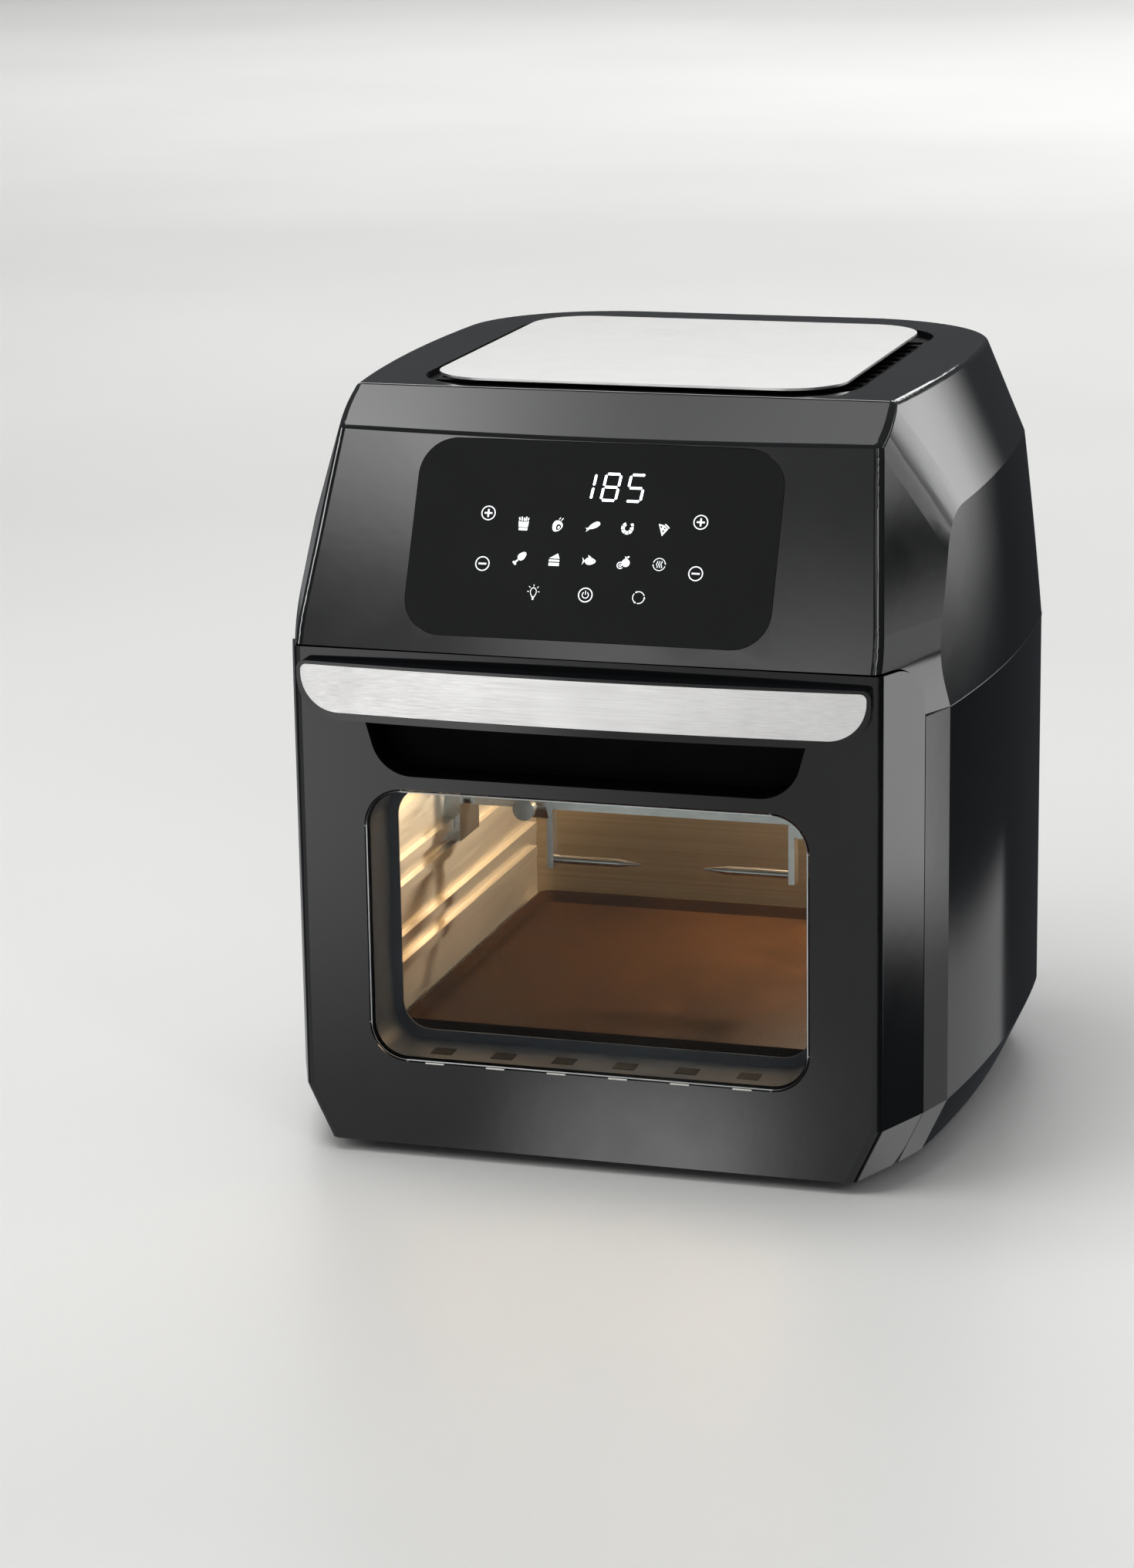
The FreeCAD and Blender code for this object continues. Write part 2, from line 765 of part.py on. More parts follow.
inner_panel = inner_panel.cut(inner_hole)
inner_panel = inner_panel.cut(glass_form(v.glass_lap + gap, glass_front, door_back + 1))
ear_low = v.floor_z + v.wall + gap
for side in (-1, 1):
    for offset in (-1, 1):
        near = offset * (v.arm_thick / 2 + v.side_clear)
        far = near + offset * v.ear_thick
        x = side * v.hinge_half + min(near, far)
        ear_at = pt(x, v.hinge_depth, ear_low)
        ear = Part.makeBox(v.ear_thick, panel_front - v.hinge_depth, 2 * (v.hinge_z - ear_low), ear_at)
        eye = Part.makeCylinder(v.hinge_z - ear_low, v.ear_thick, pt(x, v.hinge_depth, v.hinge_z), right)
        ear = ear.fuse(eye)
        inner_panel = inner_panel.fuse(ear)
    slot = Part.makeBox(
        arm_slot, 2 * door_back, v.hinge_z + v.arm_radius + v.side_clear + v.slot_over,
        pt(side * v.hinge_half - arm_slot / 2, v.hinge_depth, 0),
    )
    inner_panel = inner_panel.cut(slot)
    bore = Part.makeCylinder(
        v.pin_radius + v.pin_clear, 40, pt(side * v.hinge_half - 20, v.hinge_depth, v.hinge_z), right
    )
    inner_panel = inner_panel.cut(bore)
catch_at = pt(v.switch_half, door_back - v.catch_thick, v.switch_z)
plate_seat = Part.makeCylinder(v.magnet_radius + v.catch_lap, v.catch_thick, catch_at, back)
inner_panel = inner_panel.cut(plate_seat)
feature("door_inner_frame", inner_panel)
feature("door_inner_glass", glass_form(v.glass_lap, glass_front, glass_back))
feature("catch_plate", plate_seat)

# Soft seal round the inner opening, on the back of the inner panel.
seal_in = v.glass_lap + v.seal_gap
feature("door_seal", glass_form(seal_in + v.seal_width, door_back, door_back + v.seal_thick).cut(
    glass_form(seal_in, door_back - 1, door_back + 2 * v.seal_thick)
))


# Bowed handle: a dark core with a steel strip let into its face.
def bowed_block(set_back, deep):
    ends = -v.handle_ends + set_back
    middle = -v.handle_front + set_back
    wide = v.strip_half
    z = v.handle_low - 30
    arc = Part.Circle(pt(-wide, ends, z), pt(0, middle, z), pt(wide, ends, z))
    turn = math.asin(min(1.0, 1.15 * wide / arc.Radius))
    centre = arc.Center
    tips = [Vector(centre.x + arc.Radius * math.sin(a), centre.y - arc.Radius * math.cos(a), z)
            for a in (-turn, 0, turn)]
    edges = [Part.Arc(*tips).toShape()]
    corners = [tips[2], pt(tips[2].x, deep, z), pt(tips[0].x, deep, z), tips[0]]
    edges += [Part.makeLine(a, b) for a, b in zip(corners, corners[1:])]
    return Part.Face(Part.Wire(Part.__sortEdges__(edges))).extrude(Vector(0, 0, 90))


def handle_outline(half, low, high, low_round, top_round, grow=0.0):
    return front_prism(
        oblong(half + grow, low - grow, high + grow, low_round + grow, top_round + grow), -40, 30
    )


core = handle_outline(v.handle_half, v.handle_low, v.handle_high, v.handle_low_round, v.handle_top_round)
core = core.common(bowed_block(0, 0))
strip_round = v.handle_low_round - (v.handle_half - v.strip_half)
strip_sizes = v.strip_half, v.strip_low, v.strip_high, strip_round, v.strip_top_round
strip_form = handle_outline(*strip_sizes)
strip_seat = handle_outline(*strip_sizes, v.strip_clear)
inner_block = bowed_block(v.strip_thick, 40)
strip = strip_form.common(bowed_block(0, 40)).cut(inner_block)
core = core.cut(strip_seat.cut(inner_block))
for x in screw_places:
    screw_at = pt(x, -v.screw_reach, screw_z)
    core = core.cut(Part.makeCylinder(v.screw_radius, 2 * v.screw_reach, screw_at, back))
feature("handle_core", core)
feature("handle_strip", strip)
screws = []
for x in screw_places:
    shank = Part.makeCylinder(v.screw_radius, v.screw_reach + v.wall, pt(x, -v.screw_reach, screw_z), back)
    head = Part.makeCylinder(v.screw_head, v.screw_head_high, pt(x, v.wall, screw_z), back)
    screws.append(shank.fuse(head).removeSplitter())
feature("handle_screws", Part.makeCompound(screws))

# Lower casing: two flanks with a cut-in foot line, and a back cover between them.
lower_shell = lower_form(0, v.seam_depth).cut(lower_form(v.wall, v.seam_depth - 50))
wide = 2 * v.bulge_half
flank_zone = Part.makeBox(wide, v.cover_depth - v.seam_depth, 2 * v.shell_z, pt(0, v.seam_depth, 0))
panel = lower_shell.common(flank_zone)
feature("side_panel_right", panel)
feature("side_panel_left", mirrored(panel))
cover_zone = Part.makeBox(2 * wide, v.back_mid, 2 * v.shell_z, pt(-wide, v.cover_depth, 0))
cover = lower_shell.common(cover_zone)
slots = []
for column in range(int(v.rear_slots)):
    x = (column - (v.rear_slots - 1) / 2) * v.rear_pitch - v.rear_slot_half
    for row in range(2):
        slot_at = pt(x, v.back_depth - 10, v.rear_slot_low + row * v.rear_slot_step)
        slots.append(Part.makeBox(2 * v.rear_slot_half, 20, v.rear_slot_long, slot_at))
cover = cover.cut(Part.makeCompound(slots))
gland_hole = Part.makeCylinder(v.gland_radius, 60, pt(v.gland_half, v.back_depth - 30, v.gland_z), back)
cover = cover.cut(gland_hole)
outer_skin = lower_form(0, v.seam_depth)
spacers = []
for x in (-v.spacer_half, v.spacer_half):
    long = v.back_mid + v.spacer_reach - v.back_depth
    spacer = Part.makeCylinder(v.spacer_radius, long, pt(x, v.back_depth, v.spacer_z), back)
    spacers.append(spacer.cut(outer_skin))
rear_screws = []
for x in (-v.rear_screw_half, v.rear_screw_half):
    for z in (v.rear_screw_low, v.rear_screw_high):
        probe = Part.makeCylinder(v.screw_head, 60, pt(x, v.back_depth - 30, z), back)
        seat_at = Vector(x, probe.common(outer_skin).BoundBox.YMax, z)
        shank = Part.makeCylinder(v.screw_radius, v.screw_long, seat_at, back * -1)
        cover = cover.cut(shank)
        head = Part.makeCylinder(v.screw_head, v.screw_head_high, seat_at, back)
        rear_screws.append(head.fuse(shank).removeSplitter())
feature("rear_cover", cover)
feature("wall_spacers", Part.makeCompound(spacers))
feature("rear_screws", Part.makeCompound(rear_screws))

# Upper housing. Its sides are bowed and lean in. On each side an upright cheek, a sloping
# corner facet and a shoulder that is bowed like the side blend into each other.
lean = math.atan2(v.panel_back, v.panel_top_z - v.panel_z)
cheek_slope = v.crease_half - v.front_half
cheek_normal = Vector(v.crease_depth, -cheek_slope, 0).normalize()
facet_edge = Vector(v.panel_top_half - v.front_half, v.panel_back, v.panel_top_z - v.panel_z)
facet_normal = facet_edge.cross(Vector(-cheek_slope, -v.crease_depth, 0)).normalize()
cheek_at = pt(v.front_half, 0, v.panel_z)
panel_along = Vector(0, math.sin(lean), math.cos(lean))
panel_in = Vector(0, math.cos(lean), -math.sin(lean))
band_normal = Vector(0, v.panel_top_z - v.band_z, v.band_depth - v.panel_back).normalize()


def panel_pt(x, up, inward):
    return pt(x, 0, v.panel_z) + panel_along * up + panel_in * inward


def bowed_front(inward):
    # Everything behind the front panel, whose face is bowed across its width.
    drop = 200.0
    shift = panel_in * inward - panel_along * drop
    wide = v.front_half
    bend = Part.Circle(pt(-wide, 0, v.panel_z), pt(0, -v.panel_bow, v.panel_z), pt(wide, 0, v.panel_z))
    turn = math.asin(2.4 * wide / bend.Radius)
    rays = [Vector(math.sin(a), -math.cos(a), 0) for a in (-turn, 0, turn)]
    tips = [bend.Center + ray * bend.Radius + shift for ray in rays]
    deep = Vector(0, 700, 0)
    corners = [tips[2], tips[2] + deep, tips[0] + deep, tips[0]]
    edges = [Part.Arc(*tips).toShape()] + [Part.makeLine(a, b) for a, b in zip(corners, corners[1:])]
    face = Part.Face(Part.Wire(Part.__sortEdges__(edges)))
    return face.extrude(panel_along * 3 * drop)


def middle_of(edge):
    return edge.valueAt((edge.FirstParameter + edge.LastParameter) / 2)


def on_plane(edge, point, normal):
    return abs((middle_of(edge) - point).dot(normal)) < 1e-3


def seam(shape, first, second):
    return [e for e in shape.Edges if on_plane(e, *first) and on_plane(e, *second)]


def flip(pair):
    point, normal = pair
    return Vector(-point.x, point.y, point.z), Vector(-normal.x, normal.y, normal.z)


def shoulder_x(depth, z, inset):
    bow = flank_x(depth) - flank_x(v.shoulder_depth) + v.shoulder_spread * (depth - v.shoulder_depth)
    run = (v.top_z - z) * v.shoulder_slope
    return v.shoulder_half + bow + run - inset * math.hypot(1, v.shoulder_slope)


def between_shoulders(inset, low, high):
    # Everything inside the two shoulders, from low to high.
    wide = 3 * v.bulge_half
    depths = (-60, v.bulge_depth, v.back_mid + 60)
    tips = [pt(shoulder_x(depth, low, inset), depth, low) for depth in depths]
    corners = [tips[2], pt(-wide, depths[2], low), pt(-wide, depths[0], low), tips[0]]
    edges = [Part.Arc(*tips).toShape()] + [Part.makeLine(a, b) for a, b in zip(corners, corners[1:])]
    face = Part.Face(Part.Wire(Part.__sortEdges__(edges)))
    rise = high - low
    block = face.extrude(Vector(-v.shoulder_slope * rise, 0, rise))
    return block.common(block.mirror(Vector(), right))


def on_shoulder(edge, inset):
    spot = middle_of(edge)
    return abs(abs(spot.x) - shoulder_x(spot.y - v.front_y, spot.z, inset)) < 0.5


def side_in(up):
    # How far the side has leaned in at a height above the seam.
    share = up / (v.top_z - v.shell_z)
    return share * (4 * v.mid_side_in - v.top_side_in + share * (2 * v.top_side_in - 4 * v.mid_side_in))


def housing_form(inset, blended):
    planes = [(cheek_at, cheek_normal), (cheek_at, facet_normal)]
    planes = [(point - normal * inset, normal) for point, normal in planes]
    top = v.top_z - inset
    low = v.shell_z - 40
    high = v.top_z + 4 * v.rim_round
    size = 2.2 * v.bulge_half
    rear = v.back_mid - v.top_back_in - inset
    form = Part.makeBox(2 * size, rear + 60, high - low, pt(-size, -60, low))
    for pair in planes:
        form = form.cut(half_space(*pair)).cut(half_space(*flip(pair)))
    form = form.common(between_shoulders(inset, low, high))
    rear_plane = pt(0, rear, 0), back
    turned = [e for e in form.Edges if on_plane(e, *rear_plane) and on_shoulder(e, inset)]
    form = form.makeFillet(v.rear_blend - inset, turned)
    if blended:
        pairs = planes + [flip(pair) for pair in planes]
        form = form.makeFillet(v.cheek_blend, seam(form, *pairs[:2]) + seam(form, *pairs[2:]))
        rise = [e for e in form.Edges if on_plane(e, *pairs[1]) or on_plane(e, *pairs[3])]
        form = form.makeFillet(v.shoulder_blend, [e for e in rise if on_shoulder(e, inset)])
    form = form.common(bowed_front(inset))
    band_at = pt(0, v.panel_back, v.panel_top_z) - band_normal * inset
    if blended:
        reach = v.panel_back + 2 * v.edge_round
        upright = [e for e in form.Edges if abs(e.Vertexes[0].Z - e.Vertexes[-1].Z) > 1]
        upright = [e for e in upright if middle_of(e).y < v.front_y + reach]
        upright = [e for e in upright if abs(middle_of(e).x) > v.panel_top_half / 2]
        form = form.makeFillet(v.edge_round, upright)
    form = form.cut(half_space(band_at, band_normal))
    if blended:
        form = form.makeFillet(v.band_round, [e for e in form.Edges if on_plane(e, band_at, band_normal)])
    form = form.cut(half_space(pt(0, 0, top), Vector(0, 0, 1)))
    if blended:
        rim = [e for e in form.Edges if on_plane(e, pt(0, 0, top), Vector(0, 0, 1))]
        form = form.makeFillet(v.rim_round, rim)
    rise = v.top_z - v.shell_z
    wires = []
    for up in (low - v.shell_z, 0, 0.5 * rise, rise + 20):
        back_in = inset + v.top_back_in * up / rise
        wires.append(casing_wire(v.shell_z + up, inset + side_in(up), back_in, -60, False))
    return form.common(Part.makeLoft(wires, True, False))


def over_door(grow):
    # Space kept clear for the top of the door and everything below the seam.
    top = v.panel_z + grow
    rear = v.seam_depth + grow
    bend = v.door_round + v.door_gap + grow
    side = [
        (-100, v.shell_z - 60, 0), (-100, top, 0), (rear, top, bend), (rear, v.shell_z, 0),
        (600, v.shell_z, 0), (600, v.shell_z - 60, 0),
    ]
    return side_prism(side, 3 * v.bulge_half)


def panel_prism(corners, start, end):
    # Outline drawn on the front panel, run inward from start to end.
    wire = rounded_wire(corners, lambda p: panel_pt(p.x, p.y, start))
    return Part.Face(wire).extrude(panel_in * (end - start))


housing = housing_form(0, True).cut(over_door(0))
core = housing_form(v.wall, False)
hollow = core.cut(over_door(v.wall))
low_slab = Part.makeBox(900, 900, v.wall + 1, pt(-450, v.seam_depth + v.wall, v.shell_z - 1))
housing = housing.cut(hollow.fuse(core.common(low_slab)))
touch = oblong(v.touch_half, v.touch_low, v.touch_high, v.touch_round)
gap = v.seat_clear
pocket = oblong(v.touch_half + gap, v.touch_low - gap, v.touch_high + gap, v.touch_round + gap)
behind = bowed_front(v.touch_thick)
housing = housing.cut(panel_prism(pocket, -20, 20).cut(behind))
touch_panel = panel_prism(touch, -20, 20).common(bowed_front(0)).cut(behind)
display = oblong(v.display_half, v.display_low, v.display_high, v.display_round)
grow = v.display_round
opening = oblong(v.display_half + grow, v.display_low - grow, v.display_high + grow, grow)
housing = housing.cut(panel_prism(opening, -20, v.board_gap))
boss_zone = bowed_front(v.touch_thick + v.seat_clear)
for side in (-1, 1):
    for up in (v.touch_low + v.boss_up, v.touch_high - v.boss_up):
        boss_at = panel_pt(side * (v.touch_half - v.boss_in), up, 0)
        boss = Part.makeCylinder(v.boss_radius, v.board_gap, boss_at, panel_in)
        housing = housing.fuse(boss.common(boss_zone))
recess = oblong(v.recess_half, v.recess_front, v.recess_back, v.recess_round)
housing = housing.cut(flat_prism(recess, v.top_z - 2 * v.wall, v.top_z + 20))
feature("upper_housing", housing)
feature("touch_panel", touch_panel)

# Control board on its bosses behind the panel, with the display block on its face.
trim = v.board_trim
board_form = oblong(v.touch_half - v.board_in, v.touch_low + trim, v.touch_high - trim, v.board_in)
feature("control_board", panel_prism(board_form, v.board_gap, v.board_gap + v.board_thick))
feature("display_module", panel_prism(display, v.touch_thick + v.seat_clear, v.board_gap))

# Floating steel plate over a slotted vent that hangs under the rim of the recess.
lap = v.vent_lap
vent_top = v.top_z - v.wall
vent_form = oblong(v.recess_half + lap, v.recess_front - lap, v.recess_back + lap, v.recess_round)
vent = flat_prism(vent_form, vent_top - v.vent_thick, vent_top)
slots = []
centre = (v.plate_front + v.plate_back) / 2
plate_deep = (v.plate_back - v.plate_front) / 2
wide = v.vent_slot
long = v.vent_slot_long
for i in range(int(v.vent_slots)):
    along = (i - (v.vent_slots - 1) / 2) * v.vent_pitch - wide / 2
    for side in (-1, 1):
        x = side * (v.plate_half - v.vent_slot_in) - long / 2
        slots.append(Part.makeBox(long, wide, 20, pt(x, centre + along, vent_top - 10)))
        depth = centre + side * (plate_deep - v.vent_slot_in) - long / 2
        slots.append(Part.makeBox(wide, long, 20, pt(along, depth, vent_top - 10)))
vent = vent.cut(Part.makeCompound(slots))
plate_low = v.plate_z - v.plate_thick
for x in (-v.vent_post_half, v.vent_post_half):
    for depth in (v.plate_front + v.vent_post_in, v.plate_back - v.vent_post_in):
        post_at = pt(x, depth, vent_top - v.vent_thick)
        vent = vent.fuse(Part.makeCylinder(v.vent_post, plate_low - post_at.z, post_at))
feature("top_vent", vent)
plate = oblong(v.plate_half, v.plate_front, v.plate_back, v.plate_round)
feature("top_plate", flat_prism(plate, plate_low, v.plate_z))

# Base pan inside the foot line of the casing, on four tapered rubber feet.
base_in = v.chamfer_in + v.wall + v.seat_clear
base_wire = casing_wire(v.floor_z, base_in, base_in, v.base_front, True)
base = Part.Face(base_wire).extrude(Vector(0, 0, v.base_thick))
base_top = v.floor_z + v.base_thick
rail_mid = v.rail_half - v.rail_flange / 2
base_screws = []
for x in (-rail_mid, rail_mid):
    for depth in (v.rail_front + v.base_screw_in, v.rail_back - v.base_screw_in):
        seat_at = pt(x, depth, v.floor_z)
        shank = Part.makeCylinder(v.screw_radius, v.screw_long, seat_at)
        base = base.cut(shank)
        head = Part.makeCylinder(v.screw_head, v.screw_head_high, seat_at, Vector(0, 0, -1))
        base_screws.append(shank.fuse(head).removeSplitter())
feature("base_plate", base)
feature("base_screws", Part.makeCompound(base_screws))
feet = []
for x in (-v.foot_half, v.foot_half):
    for depth in (v.foot_front, v.foot_rear):
        feet.append(Part.makeCone(v.foot_radius - v.foot_taper, v.foot_radius, v.floor_z, pt(x, depth, 0)))
feature("feet", Part.makeCompound(feet))

# Bent rails that carry the cavity over the base pan.
rails = []
thick = v.rail_thick
for side in (-1, 1):
    outer = side * v.rail_half
    web = outer - side * thick
    inner = outer - side * v.rail_flange
    top = v.cavity_low
    outline = [
        (outer, base_top), (inner, base_top), (inner, base_top + thick), (web, base_top + thick),
        (web, top - thick), (inner, top - thick), (inner, top), (outer, top),
    ]
    wire = Part.makePolygon([pt(x, v.rail_front, z) for x, z in outline + outline[:1]])
    rail = Part.Face(wire).extrude(Vector(0, v.rail_back - v.rail_front, 0))
    rails.append(rail.cut(Part.makeCompound(base_screws)))
feature("cavity_rails", Part.makeCompound(rails))

# Hinge arms: an eye about the pin, a bar under the cavity and a foot on the base pan.
arms = []
pins = []
for side in (-1, 1):
    x = side * v.hinge_half - v.arm_thick / 2
    eye = Part.makeCylinder(v.arm_radius, v.arm_thick, pt(x, v.hinge_depth, v.hinge_z), right)
    bar_at = pt(x, v.hinge_depth, v.hinge_z - v.arm_radius)
    bar = Part.makeBox(v.arm_thick, v.arm_back - v.hinge_depth, 2 * v.arm_radius, bar_at)
    foot_at = pt(x, v.arm_foot, base_top)
    foot = Part.makeBox(v.arm_thick, v.arm_back - v.arm_foot, v.hinge_z - base_top, foot_at)
    sole_x = x if side < 0 else x + v.arm_thick - v.sole_width
    sole_at = pt(sole_x, v.sole_front, base_top)
    sole = Part.makeBox(v.sole_width, v.arm_back - v.sole_front, v.sole_thick, sole_at)
    arm = eye.fuse(bar).fuse(foot).fuse(sole)
    arm = arm.cut(Part.makeCylinder(v.pin_radius, 40, pt(x - 20, v.hinge_depth, v.hinge_z), right))
    arms.append(arm.removeSplitter())
    pin_half = v.arm_thick / 2 + v.side_clear + v.ear_thick + v.pin_over
    pins.append(Part.makeCylinder(
        v.pin_radius, 2 * pin_half, pt(side * v.hinge_half - pin_half, v.hinge_depth, v.hinge_z), right
    ))
feature("hinge_brackets", Part.makeCompound(arms))
feature("hinge_pins", Part.makeCompound(pins))

# Sheet-metal cavity, open in front: two walls with pairs of tray ribs, floor, roof and back.
cavity_inner = "(sheet.cavity_half - sheet.cavity_wall)"
deep = "sheet.cavity_back - sheet.cavity_front"
tall = "sheet.cavity_high - sheet.cavity_low"
room_tall = "%s - 2 * sheet.cavity_wall" % tall
sheet_wall = "sheet.cavity_wall"
walls = {}
for side, wall_x, rib_x in (
    ("left", "-sheet.cavity_half", "-" + cavity_inner),
    ("right", cavity_inner, cavity_inner + " - sheet.rib_reach"),
):
    sheets = [box("wall_" + side, sheet_wall, deep, tall, wall_x, "sheet.cavity_front", "sheet.cavity_low")]
    for level in range(4):
        for twin in range(2):
            name = "rib_%s_%d_%d" % (side, level, twin)
            z = "sheet.rib_first + %d * sheet.rib_step + %d * sheet.rib_pitch" % (level, twin)
            sheets.append(box(name, "sheet.rib_reach", "sheet.rib_back - sheet.rib_front", "sheet.rib_height",
                              rib_x, "sheet.rib_front", z))
    walls[side] = fuse("ribbed_wall_" + side, sheets)
rest_notch = box(
    "rest_notch", "sheet.rib_reach + 1", "sheet.rest_width + 2 * sheet.side_clear",
    "sheet.rest_below + sheet.rest_above + 2 * sheet.side_clear", "-" + cavity_inner,
    "sheet.spit_depth - sheet.rest_width / 2 - sheet.side_clear",
    "sheet.spit_z - sheet.rest_below - sheet.side_clear",
)
keep(cut("cavity_side_left", walls["left"], [rest_notch]), "cavity_side_left")
through = cavity_inner + " - 10"
lamp_notch = rod(
    "lamp_notch", "sheet.lamp_radius + sheet.side_clear", "sheet.rib_reach + 1",
    cavity_inner + " - sheet.rib_reach - 1", "sheet.lamp_depth", "sheet.lamp_z", right,
)
keep(cut("cavity_side_right", walls["right"], [
    rod("drive_opening", "sheet.socket_radius + sheet.socket_gap", "20", through,
        "sheet.spit_depth", "sheet.spit_z", right),
    rod("lamp_opening", "sheet.lamp_hole", "20", through, "sheet.lamp_depth", "sheet.lamp_z", right),
    lamp_notch,
]), "cavity_side_right")
keep(box("cavity_floor", "2 * " + cavity_inner, deep, sheet_wall,
         "-" + cavity_inner, "sheet.cavity_front", "sheet.cavity_low"), "cavity_floor")
roof_sheet = box("roof_sheet", "2 * " + cavity_inner, deep, sheet_wall,
                 "-" + cavity_inner, "sheet.cavity_front", "sheet.cavity_high - sheet.cavity_wall")
leg_depth = "sheet.fan_depth + sqrt(sheet.coil_radius ^ 2 - sheet.coil_leg ^ 2)"
above = "sheet.cavity_high - 5"
keep(cut("cavity_roof", roof_sheet, [
    rod("shaft_opening", "sheet.shaft_hole", "10", "0", "sheet.fan_depth", above),
    rod("leg_opening_left", "sheet.coil_tube", "10", "-sheet.coil_leg", leg_depth, above),
    rod("leg_opening_right", "sheet.coil_tube", "10", "sheet.coil_leg", leg_depth, above),
]), "cavity_roof")
back_sheet = box("back_sheet", "2 * " + cavity_inner, sheet_wall, room_tall, "-" + cavity_inner,
                 "sheet.cavity_back - sheet.cavity_wall", "sheet.cavity_low + sheet.cavity_wall")
sensor_opening = rod("sensor_opening", "sheet.sensor_radius", "10", "sheet.sensor_x", "sheet.cavity_back - 5",
                     "sheet.sensor_z", back)
keep(cut("cavity_back", back_sheet, [sensor_opening]), "cavity_back")

# Black front frame between the casing and the cavity, which the door seals against.
frame_form = oblong(v.frame_side, v.frame_low, v.frame_high, v.frame_round)
frame_plate = front_prism(frame_form, v.frame_front, v.cavity_front)
seal_land = v.seal_land
frame_plate = frame_plate.cut(front_prism(
    oblong(v.inner_half + seal_land, v.inner_low - seal_land, v.inner_high + seal_land, v.inner_round),
    v.frame_front - 1, v.cavity_front + 1,
))
for x, radius in ((-v.switch_half, v.plunger_radius + v.side_clear), (v.switch_half, v.magnet_radius)):
    frame_plate = frame_plate.cut(Part.makeCylinder(radius, 40, pt(x, v.frame_front - 20, v.switch_z), back))
feature("front_frame", frame_plate)

# Door switch with its sprung plunger, and the magnet of the catch.
switch_box = box("switch_box", "sheet.switch_width", "sheet.switch_deep", "sheet.switch_high",
                 "-sheet.switch_half - sheet.switch_width / 2", "sheet.cavity_front",
                 "sheet.switch_z - sheet.switch_high / 2")
switch_bore = rod("switch_bore", "sheet.plunger_radius + sheet.shaft_clear", "sheet.plunger_room",
                  "-sheet.switch_half", "sheet.cavity_front", "sheet.switch_z", back)
keep(cut("interlock_switch", switch_box, [switch_bore]), "interlock_switch")
plunger_front = "sheet.seam_depth - sheet.seam_gap + sheet.seat_clear"
keep(rod("interlock_plunger", "sheet.plunger_radius", "sheet.plunger_long", "-sheet.switch_half",
         plunger_front, "sheet.switch_z", back), "interlock_plunger")
keep(rod("catch_magnet", "sheet.magnet_radius", "sheet.magnet_long", "sheet.switch_half", plunger_front,
         "sheet.switch_z", back), "catch_magnet")


# Hot-air drive on one vertical shaft: blower wheel, cooling wheel, deck and motor.
def wheel(radius, low, high, disc, blades, disc_on_top):
    disc_low = high - disc if disc_on_top else low
    form = Part.makeCylinder(radius, disc, pt(0, v.fan_depth, disc_low))
    form = form.fuse(Part.makeCylinder(v.hub_radius, high - low, pt(0, v.fan_depth, low)))
    thick = v.blade_thick
    long = radius - v.blade_edge - v.blade_start
    for i in range(blades):
        blade = Part.makeBox(long, thick, high - low, Vector(v.blade_start, -thick / 2, low))
        blade.rotate(Vector(v.blade_start, 0, 0), Vector(0, 0, 1), v.blade_rake)
        blade.rotate(Vector(), Vector(0, 0, 1), 360.0 * i / blades)
        blade.translate(Vector(0, v.front_y + v.fan_depth, 0))
        form = form.fuse(blade)
    return form.cut(Part.makeCylinder(v.shaft_radius, 200, pt(0, v.fan_depth, low - 50)))


blades = int(v.fan_blades)
feature("hot_air_fan", wheel(v.fan_radius, v.fan_low, v.fan_high, v.fan_disc, blades, True))
feature("cooling_fan", wheel(v.cooler_radius, v.cooler_low, v.cooler_high, v.fan_disc, blades, False))
deck_top = "sheet.deck_low + sheet.deck_thick"
shaft_low = "sheet.fan_low - sheet.shaft_over"
shaft_high = "sheet.motor_high - sheet.shaft_top - (%s)" % shaft_low
keep(rod("fan_shaft", "sheet.shaft_radius", shaft_high, "0", "sheet.fan_depth", shaft_low), "fan_shaft")
running = "sheet.shaft_radius + sheet.shaft_clear"
deck_plate = box("deck_plate", "2 * sheet.deck_half", "sheet.deck_width", "sheet.deck_thick",
                 "-sheet.deck_half", "sheet.fan_depth - sheet.deck_width / 2", "sheet.deck_low")
deck_parts = [deck_plate]
for side, x, foot in ((-1, "-sheet.deck_half", "-sheet.deck_half - sheet.deck_foot"),
                      (1, "sheet.deck_half - sheet.deck_thick", "sheet.deck_half - sheet.deck_thick")):
    name = "left" if side < 0 else "right"
    deck_parts.append(box("deck_leg_" + name, "sheet.deck_thick", "sheet.deck_width",
                          "sheet.deck_low - sheet.cavity_high + sheet.deck_thick", x,
                          "sheet.fan_depth - sheet.deck_width / 2", "sheet.cavity_high"))
    deck_parts.append(box("deck_foot_" + name, "sheet.deck_foot + sheet.deck_thick", "sheet.deck_width",
                          "sheet.deck_thick", foot, "sheet.fan_depth - sheet.deck_width / 2",
                          "sheet.cavity_high"))
deck_hole = rod("deck_hole", running, "10", "0", "sheet.fan_depth", "sheet.deck_low - 4")
keep(cut("motor_bracket", fuse("deck_form", deck_parts), [deck_hole]), "motor_bracket")
motor_can = rod("motor_can", "sheet.motor_radius", "sheet.motor_high - sheet.deck_low - sheet.deck_thick",
                "0", "sheet.fan_depth", deck_top)
motor_cap = rod("motor_cap", "sheet.motor_cap_radius", "sheet.motor_cap_high", "0", "sheet.fan_depth",
                "sheet.motor_high")
motor_bore = rod("motor_bore", running, "sheet.motor_high - sheet.motor_end - (%s)" % deck_top,
                 "0", "sheet.fan_depth", deck_top)
keep(cut("fan_motor", fuse("motor_form", [motor_can, motor_cap]), [motor_bore]), "fan_motor")

